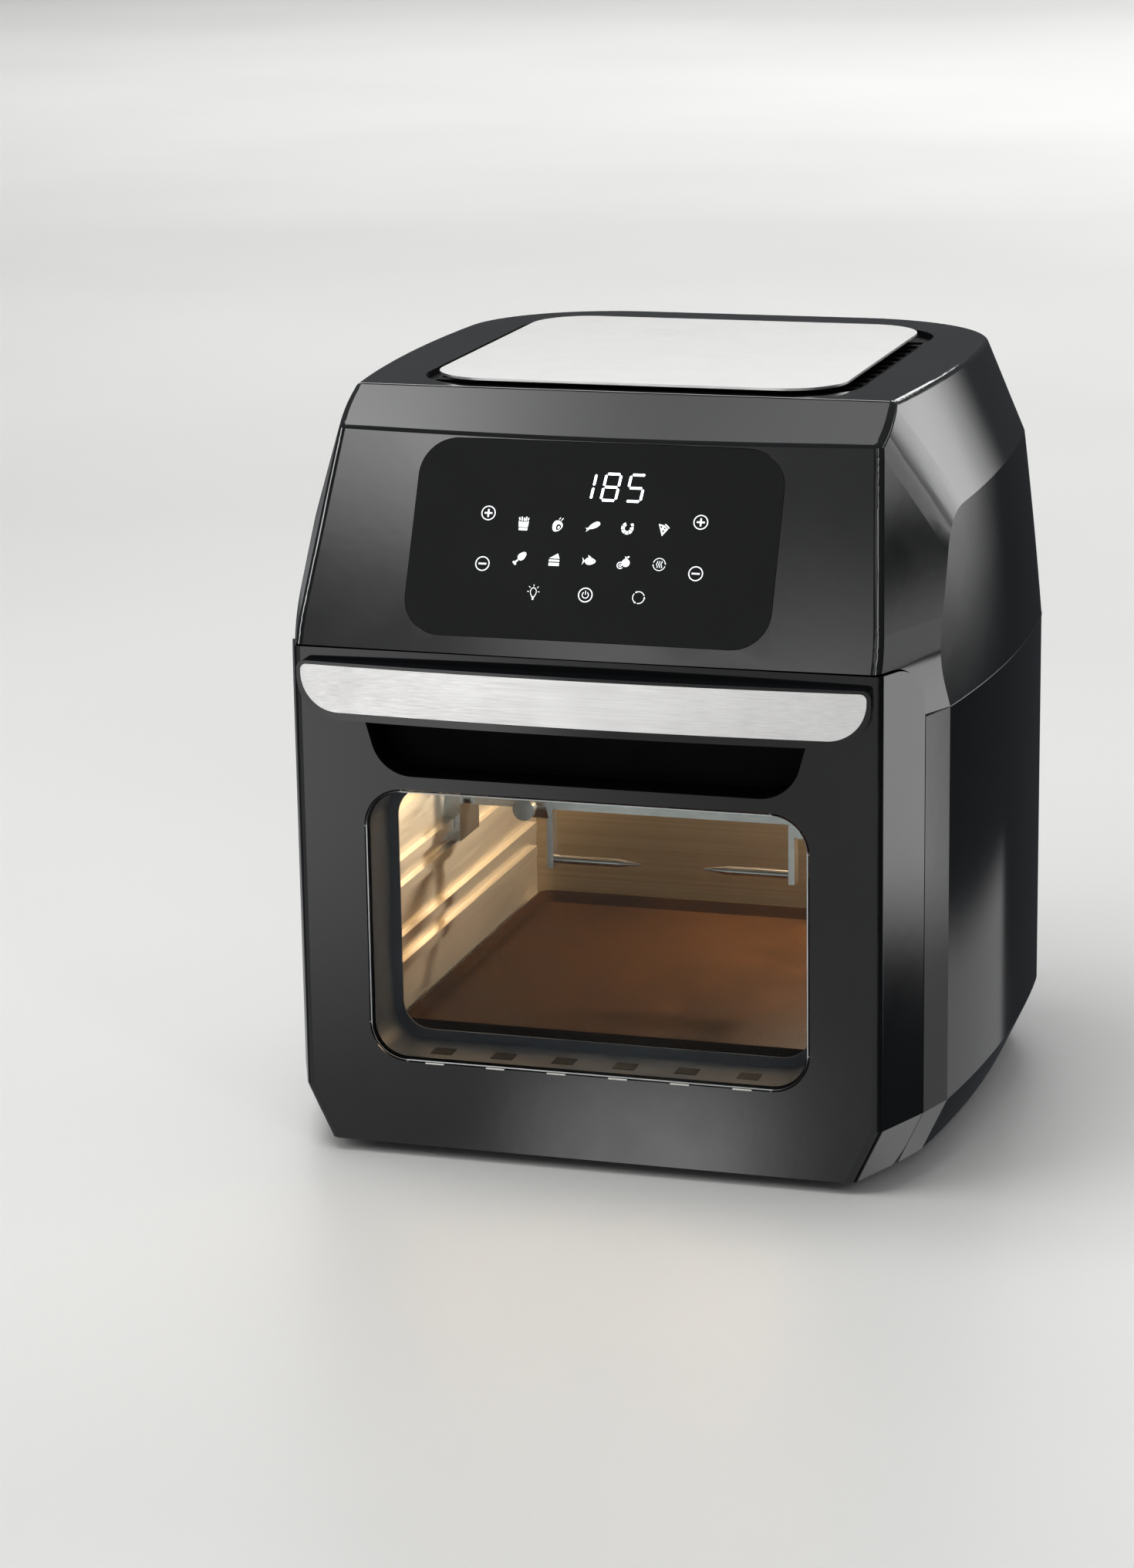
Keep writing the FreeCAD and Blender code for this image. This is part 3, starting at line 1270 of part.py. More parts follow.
# Guard under the blower wheel, hung on four posts, with two rings of slots.
guard = Part.makeCylinder(v.guard_radius, v.guard_thick, pt(0, v.fan_depth, v.guard_low))
guard_slots = []
step = 360.0 / v.guard_slots
web = v.guard_web / 2
rim = v.guard_radius - v.guard_edge
rings = [(v.guard_first, v.guard_middle - web, 0), (v.guard_middle + web, rim, step / 2)]
for i in range(int(v.guard_slots)):
    for inner, outer, turn in rings:
        slot_at = Vector(inner, -v.guard_slot / 2, v.guard_low - 5)
        slot = Part.makeBox(outer - inner, v.guard_slot, 10, slot_at)
        slot.rotate(Vector(), Vector(0, 0, 1), step * i + turn)
        slot.translate(Vector(0, v.front_y + v.fan_depth, 0))
        guard_slots.append(slot)
guard = guard.cut(Part.makeCompound(guard_slots))
for i in range(4):
    turn = math.radians(45 + 90 * i)
    ring = v.guard_radius - v.guard_post_in
    post_at = pt(ring * math.cos(turn), v.fan_depth + ring * math.sin(turn), v.guard_low)
    post = Part.makeCylinder(v.guard_post, v.cavity_high - v.cavity_wall - v.guard_low, post_at)
    guard = guard.fuse(post)
feature("fan_guard", guard)

# Tubular heating element: an open ring with two legs through the cavity roof.
half_gap = math.degrees(math.asin(v.coil_leg / v.coil_radius))
ring = Part.makeTorus(v.coil_radius, v.coil_tube, Vector(), Vector(0, 0, 1), -180, 180, 360 - 2 * half_gap)
ring.rotate(Vector(), Vector(0, 0, 1), 90 + half_gap)
ring.translate(pt(0, v.fan_depth, v.coil_z))
leg_at = v.fan_depth + math.sqrt(v.coil_radius ** 2 - v.coil_leg ** 2)
for side in (-1, 1):
    foot_at = pt(side * v.coil_leg, leg_at, v.coil_z)
    ring = ring.fuse(Part.makeCylinder(v.coil_tube, v.cavity_high + v.coil_over - v.coil_z, foot_at))
feature("heating_element", ring)

# Rotisserie: gearbox on the right wall, driven socket, square spit, forks and a rest.
cavity_side = v.cavity_half - v.cavity_wall
gearbox = box("gearbox", "sheet.gearbox_thick", "sheet.gearbox_long", "sheet.gearbox_long",
              "sheet.cavity_half", "sheet.spit_depth - sheet.gearbox_long / 2",
              "sheet.spit_z - sheet.gearbox_long / 2")
gearbox_bore = rod("gearbox_bore", "sheet.journal_radius + sheet.shaft_clear",
                   "sheet.journal_long + sheet.socket_gap", "sheet.cavity_half", "sheet.spit_depth",
                   "sheet.spit_z", right)
keep(cut("rotisserie_motor", gearbox, [gearbox_bore]), "rotisserie_motor")
socket_mouth = cavity_side - v.socket_long
socket_end = v.cavity_half - v.seat_clear
socket_floor = socket_end - v.rest_gap
square = v.spit_square
spit_at = pt(0, v.spit_depth, v.spit_z)


def square_bar(side, start, end):
    return Part.makeBox(end - start, side, side, spit_at + Vector(start, -side / 2, -side / 2))


def spit_rod(radius, start, end):
    return Part.makeCylinder(radius, end - start, spit_at + Vector(start, 0, 0), right)


socket = spit_rod(v.socket_radius, socket_mouth, socket_end)
socket = socket.fuse(spit_rod(v.journal_radius, socket_end, v.cavity_half + v.journal_long))
feature("drive_socket", socket.cut(square_bar(square + gap, socket_mouth - 1, socket_floor)))
rest_face = cavity_side - v.rest_thick
bar_end = rest_face - v.rest_gap
spit = square_bar(square, -bar_end, socket_floor - gap)
spit = spit.fuse(spit_rod(v.spit_end, -cavity_side + v.side_clear, -bar_end))
feature("spit_shaft", spit)
rest_at = spit_at + Vector(-cavity_side, -v.rest_width / 2, -v.rest_below)
rest = Part.makeBox(v.rest_thick, v.rest_width, v.rest_below + v.rest_above, rest_at)
rest = rest.cut(spit_rod(v.spit_end + v.shaft_clear, -cavity_side - 1, -rest_face + 1))
mouth = 2 * (v.spit_end + v.shaft_clear)
mouth_at = spit_at + Vector(-cavity_side - 1, -mouth / 2, 0)
rest = rest.cut(Part.makeBox(v.rest_thick + 2, mouth, 2 * v.rest_above, mouth_at))
feature("spit_bracket", rest)
forks = []
thumbs = []
front = back * -1
for side in (-1, 1):
    at = side * v.fork_place
    ends = sorted((at, at + side * v.fork_hub_long))
    arm_at = spit_at + Vector(at - v.fork_thick / 2, -v.fork_width / 2, -v.fork_reach)
    arm = Part.makeBox(v.fork_thick, v.fork_width, 2 * v.fork_reach, arm_at)
    fork = spit_rod(v.fork_hub, *ends).fuse(arm)
    straight = v.fork_long - v.tine_tip
    toward = right * -side
    for up in (-1, 1):
        tine_at = spit_at + Vector(at, 0, up * (v.fork_reach - v.tine_in))
        fork = fork.fuse(Part.makeCylinder(v.tine_radius, straight, tine_at, toward))
        fork = fork.fuse(Part.makeCone(v.tine_radius, 0.3, v.tine_tip, tine_at + toward * straight, toward))
    fork = fork.cut(square_bar(square, at - v.fork_hub_long - 1, at + v.fork_hub_long + 1))
    thumb_at = spit_at + Vector(sum(ends) / 2 + side * v.fork_thick / 2, -square / 2, 0)
    shank = Part.makeCylinder(v.screw_radius, v.thumb_long, thumb_at, front)
    fork = fork.cut(shank)
    grip = Part.makeCylinder(v.thumb_radius, v.thumb_high, thumb_at + front * v.thumb_long, front)
    forks.append(fork.removeSplitter())
    thumbs.append(shank.fuse(grip).removeSplitter())
feature("spit_forks", Part.makeCompound(forks))
feature("fork_screws", Part.makeCompound(thumbs))

# Oven lamp behind a glass cup, temperature probe and drip tray.
lamp_at = pt(cavity_side, v.lamp_depth, v.lamp_z)
inward = right * -1
cup = Part.makeCylinder(v.lamp_radius, v.lamp_deep, lamp_at, inward)
cup_room = Part.makeCylinder(v.lamp_radius - v.lamp_wall, v.lamp_deep - v.lamp_wall, lamp_at, inward)
feature("lamp_cover", cup.cut(cup_room))
holder_at = pt(v.cavity_half, v.lamp_depth, v.lamp_z)
flange = Part.makeCylinder(v.lamp_radius, v.lamp_wall, holder_at, right)
feature("lamp_holder", flange.fuse(Part.makeCylinder(v.lamp_base, v.lamp_base_long, holder_at, right)))
bulb = Part.makeCylinder(v.bulb_radius, v.bulb_reach, holder_at, inward)
tip_at = holder_at + inward * v.bulb_reach
tip = Part.makeCone(v.bulb_radius, v.bulb_radius / 2, v.bulb_radius / 2, tip_at, inward)
feature("lamp_bulb", bulb.fuse(tip))
probe_at = pt(v.sensor_x, v.cavity_back, v.sensor_z)
probe = Part.makeCylinder(v.sensor_radius, v.sensor_long, probe_at + back * v.sensor_out, front)
probe = probe.fuse(Part.makeCylinder(v.sensor_flange, v.cavity_wall, probe_at, back))
feature("temperature_sensor", probe)
tray_low = v.cavity_low + v.cavity_wall
tray_half = cavity_side - v.rib_reach - v.tray_gap


def tray_form(inset, low):
    front_end = v.cavity_front + v.tray_end + inset
    back_end = v.cavity_back - v.tray_end - inset
    corners = oblong(tray_half - inset, front_end, back_end, v.tray_round - inset)
    return flat_prism(corners, low, v.tray_high + inset)


feature("drip_tray", tray_form(0, tray_low).cut(tray_form(v.tray_wall, tray_low + v.tray_wall)))

# Power board on posts over the cavity, with its relay, filter and terminal block.
board_z = v.cavity_high + v.power_rise
board_deep = v.power_back - v.power_front
board_at = pt(-v.power_half, v.power_front, board_z)
board = Part.makeBox(2 * v.power_half, board_deep, v.board_thick, board_at)
post_in = v.power_post_in
for x in (post_in - v.power_half, v.power_half - post_in):
    for depth in (v.power_front + post_in, v.power_back - post_in):
        post_at = pt(x, depth, v.cavity_high)
        board = board.fuse(Part.makeCylinder(v.power_post, v.power_rise + v.board_thick, post_at))
blocks = {
    "relay": (-48.0, 14.0, 26.0, 20.0, 16.0),
    "filter": (-8.0, 12.0, 20.0, 30.0, 22.0),
    "terminals": (26.0, 18.0, 24.0, 18.0, 14.0),
}
for x, behind_edge, long, wide, high in blocks.values():
    block_at = pt(x, v.power_front + behind_edge, board_z + v.board_thick)
    board = board.fuse(Part.makeBox(long, wide, high, block_at))
feature("power_board", board)

# Cord inlet in the back cover, shown without a cord.
gland_at = pt(v.gland_half, v.back_depth - v.gland_in, v.gland_z)
gland_skin = gland_hole.common(outer_skin).BoundBox.YMax
flange_at = Vector(v.gland_half, gland_skin + v.seat_clear, v.gland_z)
gland = Part.makeCylinder(v.gland_radius, flange_at.y + v.gland_flange - gland_at.y, gland_at, back)
gland = gland.fuse(Part.makeCylinder(v.gland_radius + v.gland_flange, v.gland_flange, flange_at, back))
feature("cord_gland", gland.cut(Part.makeCylinder(v.gland_bore, 60, gland_at + back * v.gland_wall, back)))

doc.recompute()
for obj in doc.Objects:
    if "Invalid" in obj.State or "Error" in obj.State:
        raise RuntimeError("failed: " + obj.Label)
for obj in pieces:
    if obj.Shape.isNull() or not obj.Shape.isValid():
        raise RuntimeError("bad shape: " + obj.Label)
os.makedirs("parts", exist_ok=True)
for obj in pieces:
    obj.Shape.exportStep("parts/" + obj.Label + ".step")
    print(obj.Label, len(obj.Shape.Solids), round(obj.Shape.Volume / 1000, 2))
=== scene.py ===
import math
import bpy
import bmesh
from mathutils import Matrix, Vector
from mathutils.bvhtree import BVHTree


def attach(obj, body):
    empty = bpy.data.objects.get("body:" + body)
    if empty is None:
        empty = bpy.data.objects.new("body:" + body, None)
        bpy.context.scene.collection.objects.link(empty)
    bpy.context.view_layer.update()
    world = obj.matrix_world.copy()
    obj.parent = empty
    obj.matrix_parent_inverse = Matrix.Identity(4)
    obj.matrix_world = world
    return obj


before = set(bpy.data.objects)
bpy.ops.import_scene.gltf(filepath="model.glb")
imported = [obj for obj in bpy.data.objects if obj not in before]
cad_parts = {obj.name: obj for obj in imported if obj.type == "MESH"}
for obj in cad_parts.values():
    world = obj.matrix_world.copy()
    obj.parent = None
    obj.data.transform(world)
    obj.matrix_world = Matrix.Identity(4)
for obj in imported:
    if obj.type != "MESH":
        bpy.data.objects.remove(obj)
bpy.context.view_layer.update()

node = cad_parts
scene = bpy.context.scene
metre = 1000  # in millimetres
farOut = 0.4  # metres from the part's middle, where rays toward it start
print("frame loaded:", len(node), "pieces")


# sRGB hex to linear colour
def linear(hexColour):
    parts = [int(hexColour[i:i + 2], 16) / 255 for i in (0, 2, 4)]
    return tuple(c / 12.92 if c <= 0.04045 else ((c + 0.055) / 1.055) ** 2.4 for c in parts) + (1.0,)


# camera as it stood for the photograph: to the right of the front and a little above
cameraPlace = {"azimuth": 17.27, "elevation": 14.79, "roll": -0.92, "distance": 1.9416,
               "target": (0.0, -0.1595, 0.186), "aside": 0.00721, "above": -0.00278,
               "lens": 97.06, "sensor": 36, "near": 0.05, "far": 60}


def placeCamera(look):
    az, el, roll = (math.radians(look[k]) for k in ("azimuth", "elevation", "roll"))
    back = Vector((math.sin(az) * math.cos(el), -math.cos(az) * math.cos(el), math.sin(el)))
    level = (-back).cross(Vector((0, 0, 1))).normalized()
    plumb = level.cross(-back)
    right = level * math.cos(roll) + plumb * math.sin(roll)
    up = plumb * math.cos(roll) - level * math.sin(roll)
    at = Vector(look["target"]) - right * look["aside"] - up * look["above"] + back * look["distance"]
    lens = bpy.data.cameras.new("photoCamera")
    lens.lens, lens.sensor_width = look["lens"], look["sensor"]
    lens.clip_start, lens.clip_end = look["near"], look["far"]
    camera = bpy.data.objects.new("photoCamera", lens)
    turn = Matrix((right, up, back)).transposed().to_4x4()
    camera.matrix_world = Matrix.Translation(at) @ turn
    scene.collection.objects.link(camera)
    scene.camera = camera


placeCamera(cameraPlace)
print("camera placed")


# one node with its own settings, socket values, links and colour stops
def put(tree, kind, sockets=None, stops=(), **settings):
    made = tree.nodes.new("ShaderNode" + kind)
    for name, value in settings.items():
        setattr(made, name, value)
    for name, value in (sockets or {}).items():
        if isinstance(value, bpy.types.NodeSocket):
            tree.links.new(value, made.inputs[name])
        else:
            made.inputs[name].default_value = value
    if stops:
        bands = made.color_ramp.elements
        while len(bands) < len(stops):
            bands.new(0.5)
        for band, (place, colour) in zip(bands, stops):
            band.position, band.color = place, linear(colour)
    return made


def blank(name):
    material = bpy.data.materials.new(name)
    material.use_nodes = True
    material.node_tree.nodes.clear()
    return material, material.node_tree


# the share of a noise's range that each kind of surface draws on, and how far its bumps reach in metres
noiseSpan = {"plastic": (0.3, 0.7), "metal": (0.32, 0.68), "polish": (0.3, 0.7), "lit": (0.25, 0.75)}
bumpReach = {"plastic": 0.0002, "metal": 0.0001, "glass": 0.0001}


# moulded plastic and the like: noise in the colour, a roughness that wanders and the grain of the tool
def mouldedPlastic(name, look):
    material, tree = blank(name)
    low, high = noiseSpan["plastic"]
    where = put(tree, "TexCoord").outputs["Object"]
    haze = put(tree, "TexNoise", {"Vector": where, "Scale": metre / look["hazeMm"], "Detail": 4.0,
                                  "Roughness": 0.6}).outputs["Fac"]
    colour = put(tree, "ValToRGB", {"Fac": haze}, stops=[(low, look["colour"]), (high, look["worn"])])
    rough = put(tree, "MapRange", {"Value": haze, "From Min": low, "From Max": high,
                                   "To Min": look["roughness"][0], "To Max": look["roughness"][1]})
    grain = put(tree, "TexNoise", {"Vector": where, "Scale": metre / look["grainMm"], "Detail": 2.0})
    bump = put(tree, "Bump", {"Height": grain.outputs["Fac"], "Strength": look["grain"],
                              "Distance": bumpReach["plastic"]})
    shader = put(tree, "BsdfPrincipled", {"Base Color": colour.outputs["Color"], "IOR": look["ior"],
                                          "Roughness": rough.outputs["Result"],
                                          "Normal": bump.outputs["Normal"]})
    put(tree, "OutputMaterial", {"Surface": shader.outputs["BSDF"]})
    return material


# sheet or bar metal: fine lines along one direction, stronger where brushed, with a soft mottle
mottleShare = 0.28


def workedMetal(name, look):
    material, tree = blank(name)
    dark, pale = noiseSpan["metal"]
    low, high = noiseSpan["polish"]
    where = put(tree, "TexCoord").outputs["Object"]
    run = put(tree, "Mapping", {"Vector": where, "Scale": tuple(metre / s for s in look["lineMm"])})
    lines = put(tree, "TexNoise", {"Vector": run.outputs["Vector"], "Scale": 1.0, "Detail": 5.0,
                                   "Roughness": 0.62}).outputs["Fac"]
    mottle = put(tree, "TexNoise", {"Vector": where, "Scale": metre / look["mottleMm"], "Detail": 3.0})
    tint = put(tree, "Math", {0: mottle.outputs["Fac"], 1: mottleShare}, operation="MULTIPLY")
    mixed = put(tree, "Math", {0: lines, 1: 1 - mottleShare, 2: tint.outputs["Value"]},
                operation="MULTIPLY_ADD").outputs["Value"]
    colour = put(tree, "ValToRGB", {"Fac": mixed}, stops=[(dark, look["dark"]), (pale, look["colour"])])
    rough = put(tree, "MapRange", {"Value": mixed, "From Min": low, "From Max": high,
                                   "To Min": look["roughness"][1], "To Max": look["roughness"][0]})
    bump = put(tree, "Bump", {"Height": lines, "Strength": look["grain"], "Distance": bumpReach["metal"]})
    shader = put(tree, "BsdfPrincipled", {"Base Color": colour.outputs["Color"], "Metallic": 1.0,
                                          "Roughness": rough.outputs["Result"],
                                          "Normal": bump.outputs["Normal"]})
    put(tree, "OutputMaterial", {"Surface": shader.outputs["BSDF"]})
    return material


# clear or tinted pane: polished, with the faintest unevenness of rolled sheet
def clearPane(name, look):
    material, tree = blank(name)
    where = put(tree, "TexCoord").outputs["Object"]
    wave = put(tree, "TexNoise", {"Vector": where, "Scale": metre / look["waveMm"],
                                  "Detail": 1.0}).outputs["Fac"]
    bump = put(tree, "Bump", {"Height": wave, "Strength": look["wave"], "Distance": bumpReach["glass"]})
    smear = put(tree, "MapRange", {"Value": wave, "To Min": look["roughness"][0],
                                   "To Max": look["roughness"][1]})
    shader = put(tree, "BsdfPrincipled", {"Base Color": linear(look["colour"]), "IOR": look["ior"],
                                          "Roughness": smear.outputs["Result"],
                                          "Transmission Weight": 1.0, "Normal": bump.outputs["Normal"]})
    put(tree, "OutputMaterial", {"Surface": shader.outputs["BSDF"]})
    return material


# a lit face: the glow is uneven the way a diffuser behind a print is
def litFace(name, look):
    material, tree = blank(name)
    dark, pale = noiseSpan["lit"]
    where = put(tree, "TexCoord").outputs["Object"]
    cloud = put(tree, "TexNoise", {"Vector": where, "Scale": metre / look["cloudMm"], "Detail": 2.0})
    colour = put(tree, "ValToRGB", {"Fac": cloud.outputs["Fac"]},
                 stops=[(dark, look["dark"]), (pale, look["colour"])]).outputs["Color"]
    shader = put(tree, "BsdfPrincipled", {"Base Color": colour, "Roughness": look["roughness"],
                                          "Emission Color": colour, "Emission Strength": look["glow"]})
    put(tree, "OutputMaterial", {"Surface": shader.outputs["BSDF"]})
    return material


# moulded ABS from a polished tool: deep black, clear gloss, a barely visible flow ripple
glossAbs = mouldedPlastic("polishedMouldedAbs", {
    "colour": "08090a", "worn": "0d0e10", "roughness": (0.05, 0.09), "ior": 1.53,
    "hazeMm": 90, "grainMm": 7, "grain": 0.02})
# moulded ABS from a spark-eroded tool: satin black; the 0.3 mm grit is drawn at 0.9 mm so that it shows
satinAbs = mouldedPlastic("sparkGrainedAbs", {
    "colour": "131415", "worn": "1a1b1d", "roughness": (0.42, 0.55), "ior": 1.53,
    "hazeMm": 60, "grainMm": 0.9, "grain": 0.35})
# moulded ABS of the window tunnel: dark grey, half gloss
tunnelAbs = mouldedPlastic("halfGlossAbs", {
    "colour": "373b41", "worn": "444950", "roughness": (0.34, 0.42), "ior": 1.3,
    "hazeMm": 40, "grainMm": 3, "grain": 0.05})
# glass-filled PBT moulding: matt dark grey with pale fibre flecks
darkPbt = mouldedPlastic("glassFilledPbt", {
    "colour": "242628", "worn": "313437", "roughness": (0.38, 0.52), "ior": 1.55,
    "hazeMm": 14, "grainMm": 1.2, "grain": 0.25})
# dead black, matt PBT, darker than the black mouldings around it: painted shade in the finger scoop under the
# handle, in the vent groove on top and in the slots on the tunnel sill
shadeBlackPbt = mouldedPlastic("paintedShadeBlack", {
    "colour": "030303", "worn": "050505", "roughness": (0.6, 0.7), "ior": 1.2,
    "hazeMm": 30, "grainMm": 0.9, "grain": 0.3})
# natural acetal: pale, waxy
paleAcetal = mouldedPlastic("naturalAcetal", {
    "colour": "dcdbd4", "worn": "e9e8e2", "roughness": (0.35, 0.45), "ior": 1.48,
    "hazeMm": 10, "grainMm": 1.0, "grain": 0.1})
# printed film under a clear hard coat: flat black, even satin sheen
touchFilm = mouldedPlastic("printedTouchFilm", {
    "colour": "0a0b0b", "worn": "0d0e0f", "roughness": (0.34, 0.40), "ior": 1.32,
    "hazeMm": 40, "grainMm": 0.8, "grain": 0.05})
# cast smoked acrylic, the dark filter over the numerals: near black, smooth
displayFilter = mouldedPlastic("smokedAcrylic", {
    "colour": "07070a", "worn": "0a0a0e", "roughness": (0.2, 0.26), "ior": 1.49,
    "hazeMm": 20, "grainMm": 2.0, "grain": 0.02})
# solder mask over glass-epoxy board: green with a mottle of copper beneath
boardMask = mouldedPlastic("solderMaskedBoard", {
    "colour": "12442b", "worn": "1c5c3a", "roughness": (0.3, 0.42), "ior": 1.55,
    "hazeMm": 3, "grainMm": 1.5, "grain": 0.15})
# moulded silicone: dark grey, dusty
siliconeGasket = mouldedPlastic("mouldedSilicone", {
    "colour": "2c2c2d", "worn": "3b3b3c", "roughness": (0.55, 0.7), "ior": 1.41,
    "hazeMm": 12, "grainMm": 0.8, "grain": 0.2})
# moulded nitrile rubber: matt black with a grey bloom
nitrileRubber = mouldedPlastic("mouldedRubber", {
    "colour": "151515", "worn": "252525", "roughness": (0.6, 0.75), "ior": 1.52,
    "hazeMm": 8, "grainMm": 0.7, "grain": 0.3})
# pressed steatite: off-white, slightly gritty glaze
steatite = mouldedPlastic("pressedSteatite", {
    "colour": "d8d4c8", "worn": "e6e3da", "roughness": (0.3, 0.5), "ior": 1.6,
    "hazeMm": 9, "grainMm": 0.9, "grain": 0.2})
# baked non-stick coating on steel: near black, a fine orange peel
nonStick = mouldedPlastic("bakedNonStick", {
    "colour": "1b1917", "worn": "262320", "roughness": (0.28, 0.42), "ior": 1.45,
    "hazeMm": 25, "grainMm": 1.1, "grain": 0.3})
# fired enamel on the drip tray: dark brown, eggshell, with hardly a reflection
trayEnamel = mouldedPlastic("firedBrownEnamel", {
    "colour": "150b04", "worn": "1d1006", "roughness": (0.50, 0.60), "ior": 1.06,
    "hazeMm": 30, "grainMm": 1.4, "grain": 0.15})
# ground edge of the glass pane, made pale as a painted highlight: a pale frosted line
edgeHighlightFinish = mouldedPlastic("paintedEdgeHighlight", {
    "colour": "b0b3b4", "worn": "c6c9ca", "roughness": (0.25, 0.35), "ior": 1.5,
    "hazeMm": 15, "grainMm": 0.8, "grain": 0.1})
print("plastics made")

# brushed stainless: lines along the length; the 0.1 mm lines are drawn 0.45 mm apart so that they show
brushedSteel = workedMetal("brushedStainless", {
    "colour": "efeeec", "dark": "d9d8d6", "roughness": (0.26, 0.36),
    "lineMm": (60, 0.45, 0.45), "mottleMm": 30, "grain": 0.10})
# cold-rolled stainless lining: soft rolling lines from front to back
cavitySteel = workedMetal("rolledStainlessLining", {
    "colour": "e8e2d7", "dark": "d3cbbd", "roughness": (0.29, 0.37),
    "lineMm": (1.2, 500, 1.2), "mottleMm": 60, "grain": 0.02})
# the same sheet at the back, browned by heat, its rolling lines from side to side
crossSteel = workedMetal("rolledStainlessBack", {
    "colour": "8f806a", "dark": "74654f", "roughness": (0.34, 0.42),
    "lineMm": (500, 1.2, 1.2), "mottleMm": 60, "grain": 0.02})
# turned and polished stainless: bright with faint turning lines
polishedSteel = workedMetal("polishedStainless", {
    "colour": "dcdcdc", "dark": "c4c4c5", "roughness": (0.14, 0.24),
    "lineMm": (8, 0.8, 0.8), "mottleMm": 12, "grain": 0.05})
# zinc-plated steel sheet: grey with a patchy spangle
zincSteel = workedMetal("zincPlatedSteel", {
    "colour": "b9bcbd", "dark": "94989a", "roughness": (0.3, 0.46),
    "lineMm": (5, 5, 5), "mottleMm": 7, "grain": 0.08})
# oxide-blackened steel: charcoal, a dull metallic sheen
blackSteel = workedMetal("oxideBlackSteel", {
    "colour": "4a4846", "dark": "333130", "roughness": (0.34, 0.5),
    "lineMm": (3, 3, 3), "mottleMm": 9, "grain": 0.1})
# stamped aluminium: pale, with faint marks of the press
stampedAluminium = workedMetal("stampedAluminium", {
    "colour": "dadbdd", "dark": "bfc1c4", "roughness": (0.28, 0.4),
    "lineMm": (6, 1.5, 6), "mottleMm": 10, "grain": 0.06})
print("metals made")

# float glass with a low-reflection coat and a slight grey cast
windowGlass = clearPane("coatedFloatGlass", {
    "colour": "eef0ef", "roughness": (0.0, 0.01), "ior": 1.15, "waveMm": 120, "wave": 0.02})
# pressed borosilicate cap of the lamp: clear, a little wavy
lampGlass = clearPane("pressedBorosilicate", {
    "colour": "fff6e6", "roughness": (0.03, 0.1), "ior": 1.47, "waveMm": 6, "wave": 0.2})
# warm filament lamp behind frosting
lampGlow = litFace("frostedLamp", {
    "colour": "ffe2b0", "dark": "ffd08a", "roughness": 0.4, "glow": 6.0, "cloudMm": 6})
# white print lit from behind
iconPrint = litFace("backlitPrint", {
    "colour": "f4f7f8", "dark": "dfe5e7", "roughness": 0.45, "glow": 0.75, "cloudMm": 9})
# numerals: cool white diodes behind the filter
numeralLight = litFace("coolWhiteDiodes", {
    "colour": "fbfdff", "dark": "e3ecff", "roughness": 0.4, "glow": 2.2, "cloudMm": 4})
print("glass and lights made")

finishes = {
    glossAbs: ["door_shell", "handle_core", "side_panel_right", "side_panel_left", "upper_housing"],
    # the scoop and the top vent are made dead black as painted shade
    shadeBlackPbt: ["grip_cup", "top_vent"],
    satinAbs: ["rear_cover", "wall_spacers", "base_plate"],
    tunnelAbs: ["window_tunnel", "door_inner_frame"],
    darkPbt: ["interlock_switch", "cooling_fan", "rotisserie_motor"],
    paleAcetal: ["interlock_plunger"],
    touchFilm: ["touch_panel"],
    displayFilter: ["display_module"],
    boardMask: ["control_board", "power_board"],
    siliconeGasket: ["door_seal"],
    nitrileRubber: ["feet", "cord_gland"],
    steatite: ["lamp_holder"],
    nonStick: ["front_frame"],
    trayEnamel: ["drip_tray"],
    brushedSteel: ["handle_strip", "top_plate"],
    cavitySteel: ["cavity_side_left", "cavity_side_right", "cavity_floor", "cavity_roof", "fan_guard"],
    crossSteel: ["cavity_back"],
    polishedSteel: ["hinge_pins", "fan_shaft", "drive_socket", "spit_shaft", "spit_bracket", "spit_forks",
                    "fork_screws", "temperature_sensor"],
    zincSteel: ["catch_plate", "handle_screws", "base_screws", "cavity_rails", "hinge_brackets",
                "motor_bracket", "fan_motor"],
    blackSteel: ["rear_screws", "catch_magnet", "heating_element"],
    stampedAluminium: ["hot_air_fan"],
    windowGlass: ["door_window", "door_inner_glass"],
    lampGlass: ["lamp_cover"],
    lampGlow: ["lamp_bulb"],
}
for finish, names in finishes.items():
    for name in names:
        piece = node[name]
        if not piece.material_slots:
            piece.data.materials.append(finish)
        for place in piece.material_slots:
            place.material = finish
print("finishes given to", sum(len(names) for names in finishes.values()), "pieces")


# flat marks of the touch panel: outlines in mm about each mark's centre, x to the right and y up the panel
def disc(x, y, r, steps=28):
    turns = [2 * math.pi * k / steps for k in range(steps)]
    return [(x + r * math.cos(t), y + r * math.sin(t)) for t in turns]


def arc(r, width, start, end, x=0.0, y=0.0, steps=18):
    turns = [math.radians(start + (end - start) * k / steps) for k in range(steps + 1)]
    far, near = r + width / 2, r - width / 2
    outer = [(x + far * math.cos(t), y + far * math.sin(t)) for t in turns]
    inner = [(x + near * math.cos(t), y + near * math.sin(t)) for t in reversed(turns)]
    return outer + inner


def stroke(points, width):
    left, right = [], []
    for k, (x, y) in enumerate(points):
        ax, ay = points[max(k - 1, 0)]
        bx, by = points[min(k + 1, len(points) - 1)]
        size = math.hypot(bx - ax, by - ay)
        nx, ny = -(by - ay) / size * width / 2, (bx - ax) / size * width / 2
        left.append((x + nx, y + ny))
        right.append((x - nx, y - ny))
    return left + right[::-1]


# an oval that swells toward one end
def egg(x, y, long, short, turn, swell=0.22, steps=30):
    c, s = math.cos(math.radians(turn)), math.sin(math.radians(turn))
    shape = []
    for k in range(steps):
        t = 2 * math.pi * k / steps
        u, w = long * math.cos(t), short * math.sin(t) * (1 + swell * math.cos(t))
        shape.append((x + u * c - w * s, y + u * s + w * c))
    return shape


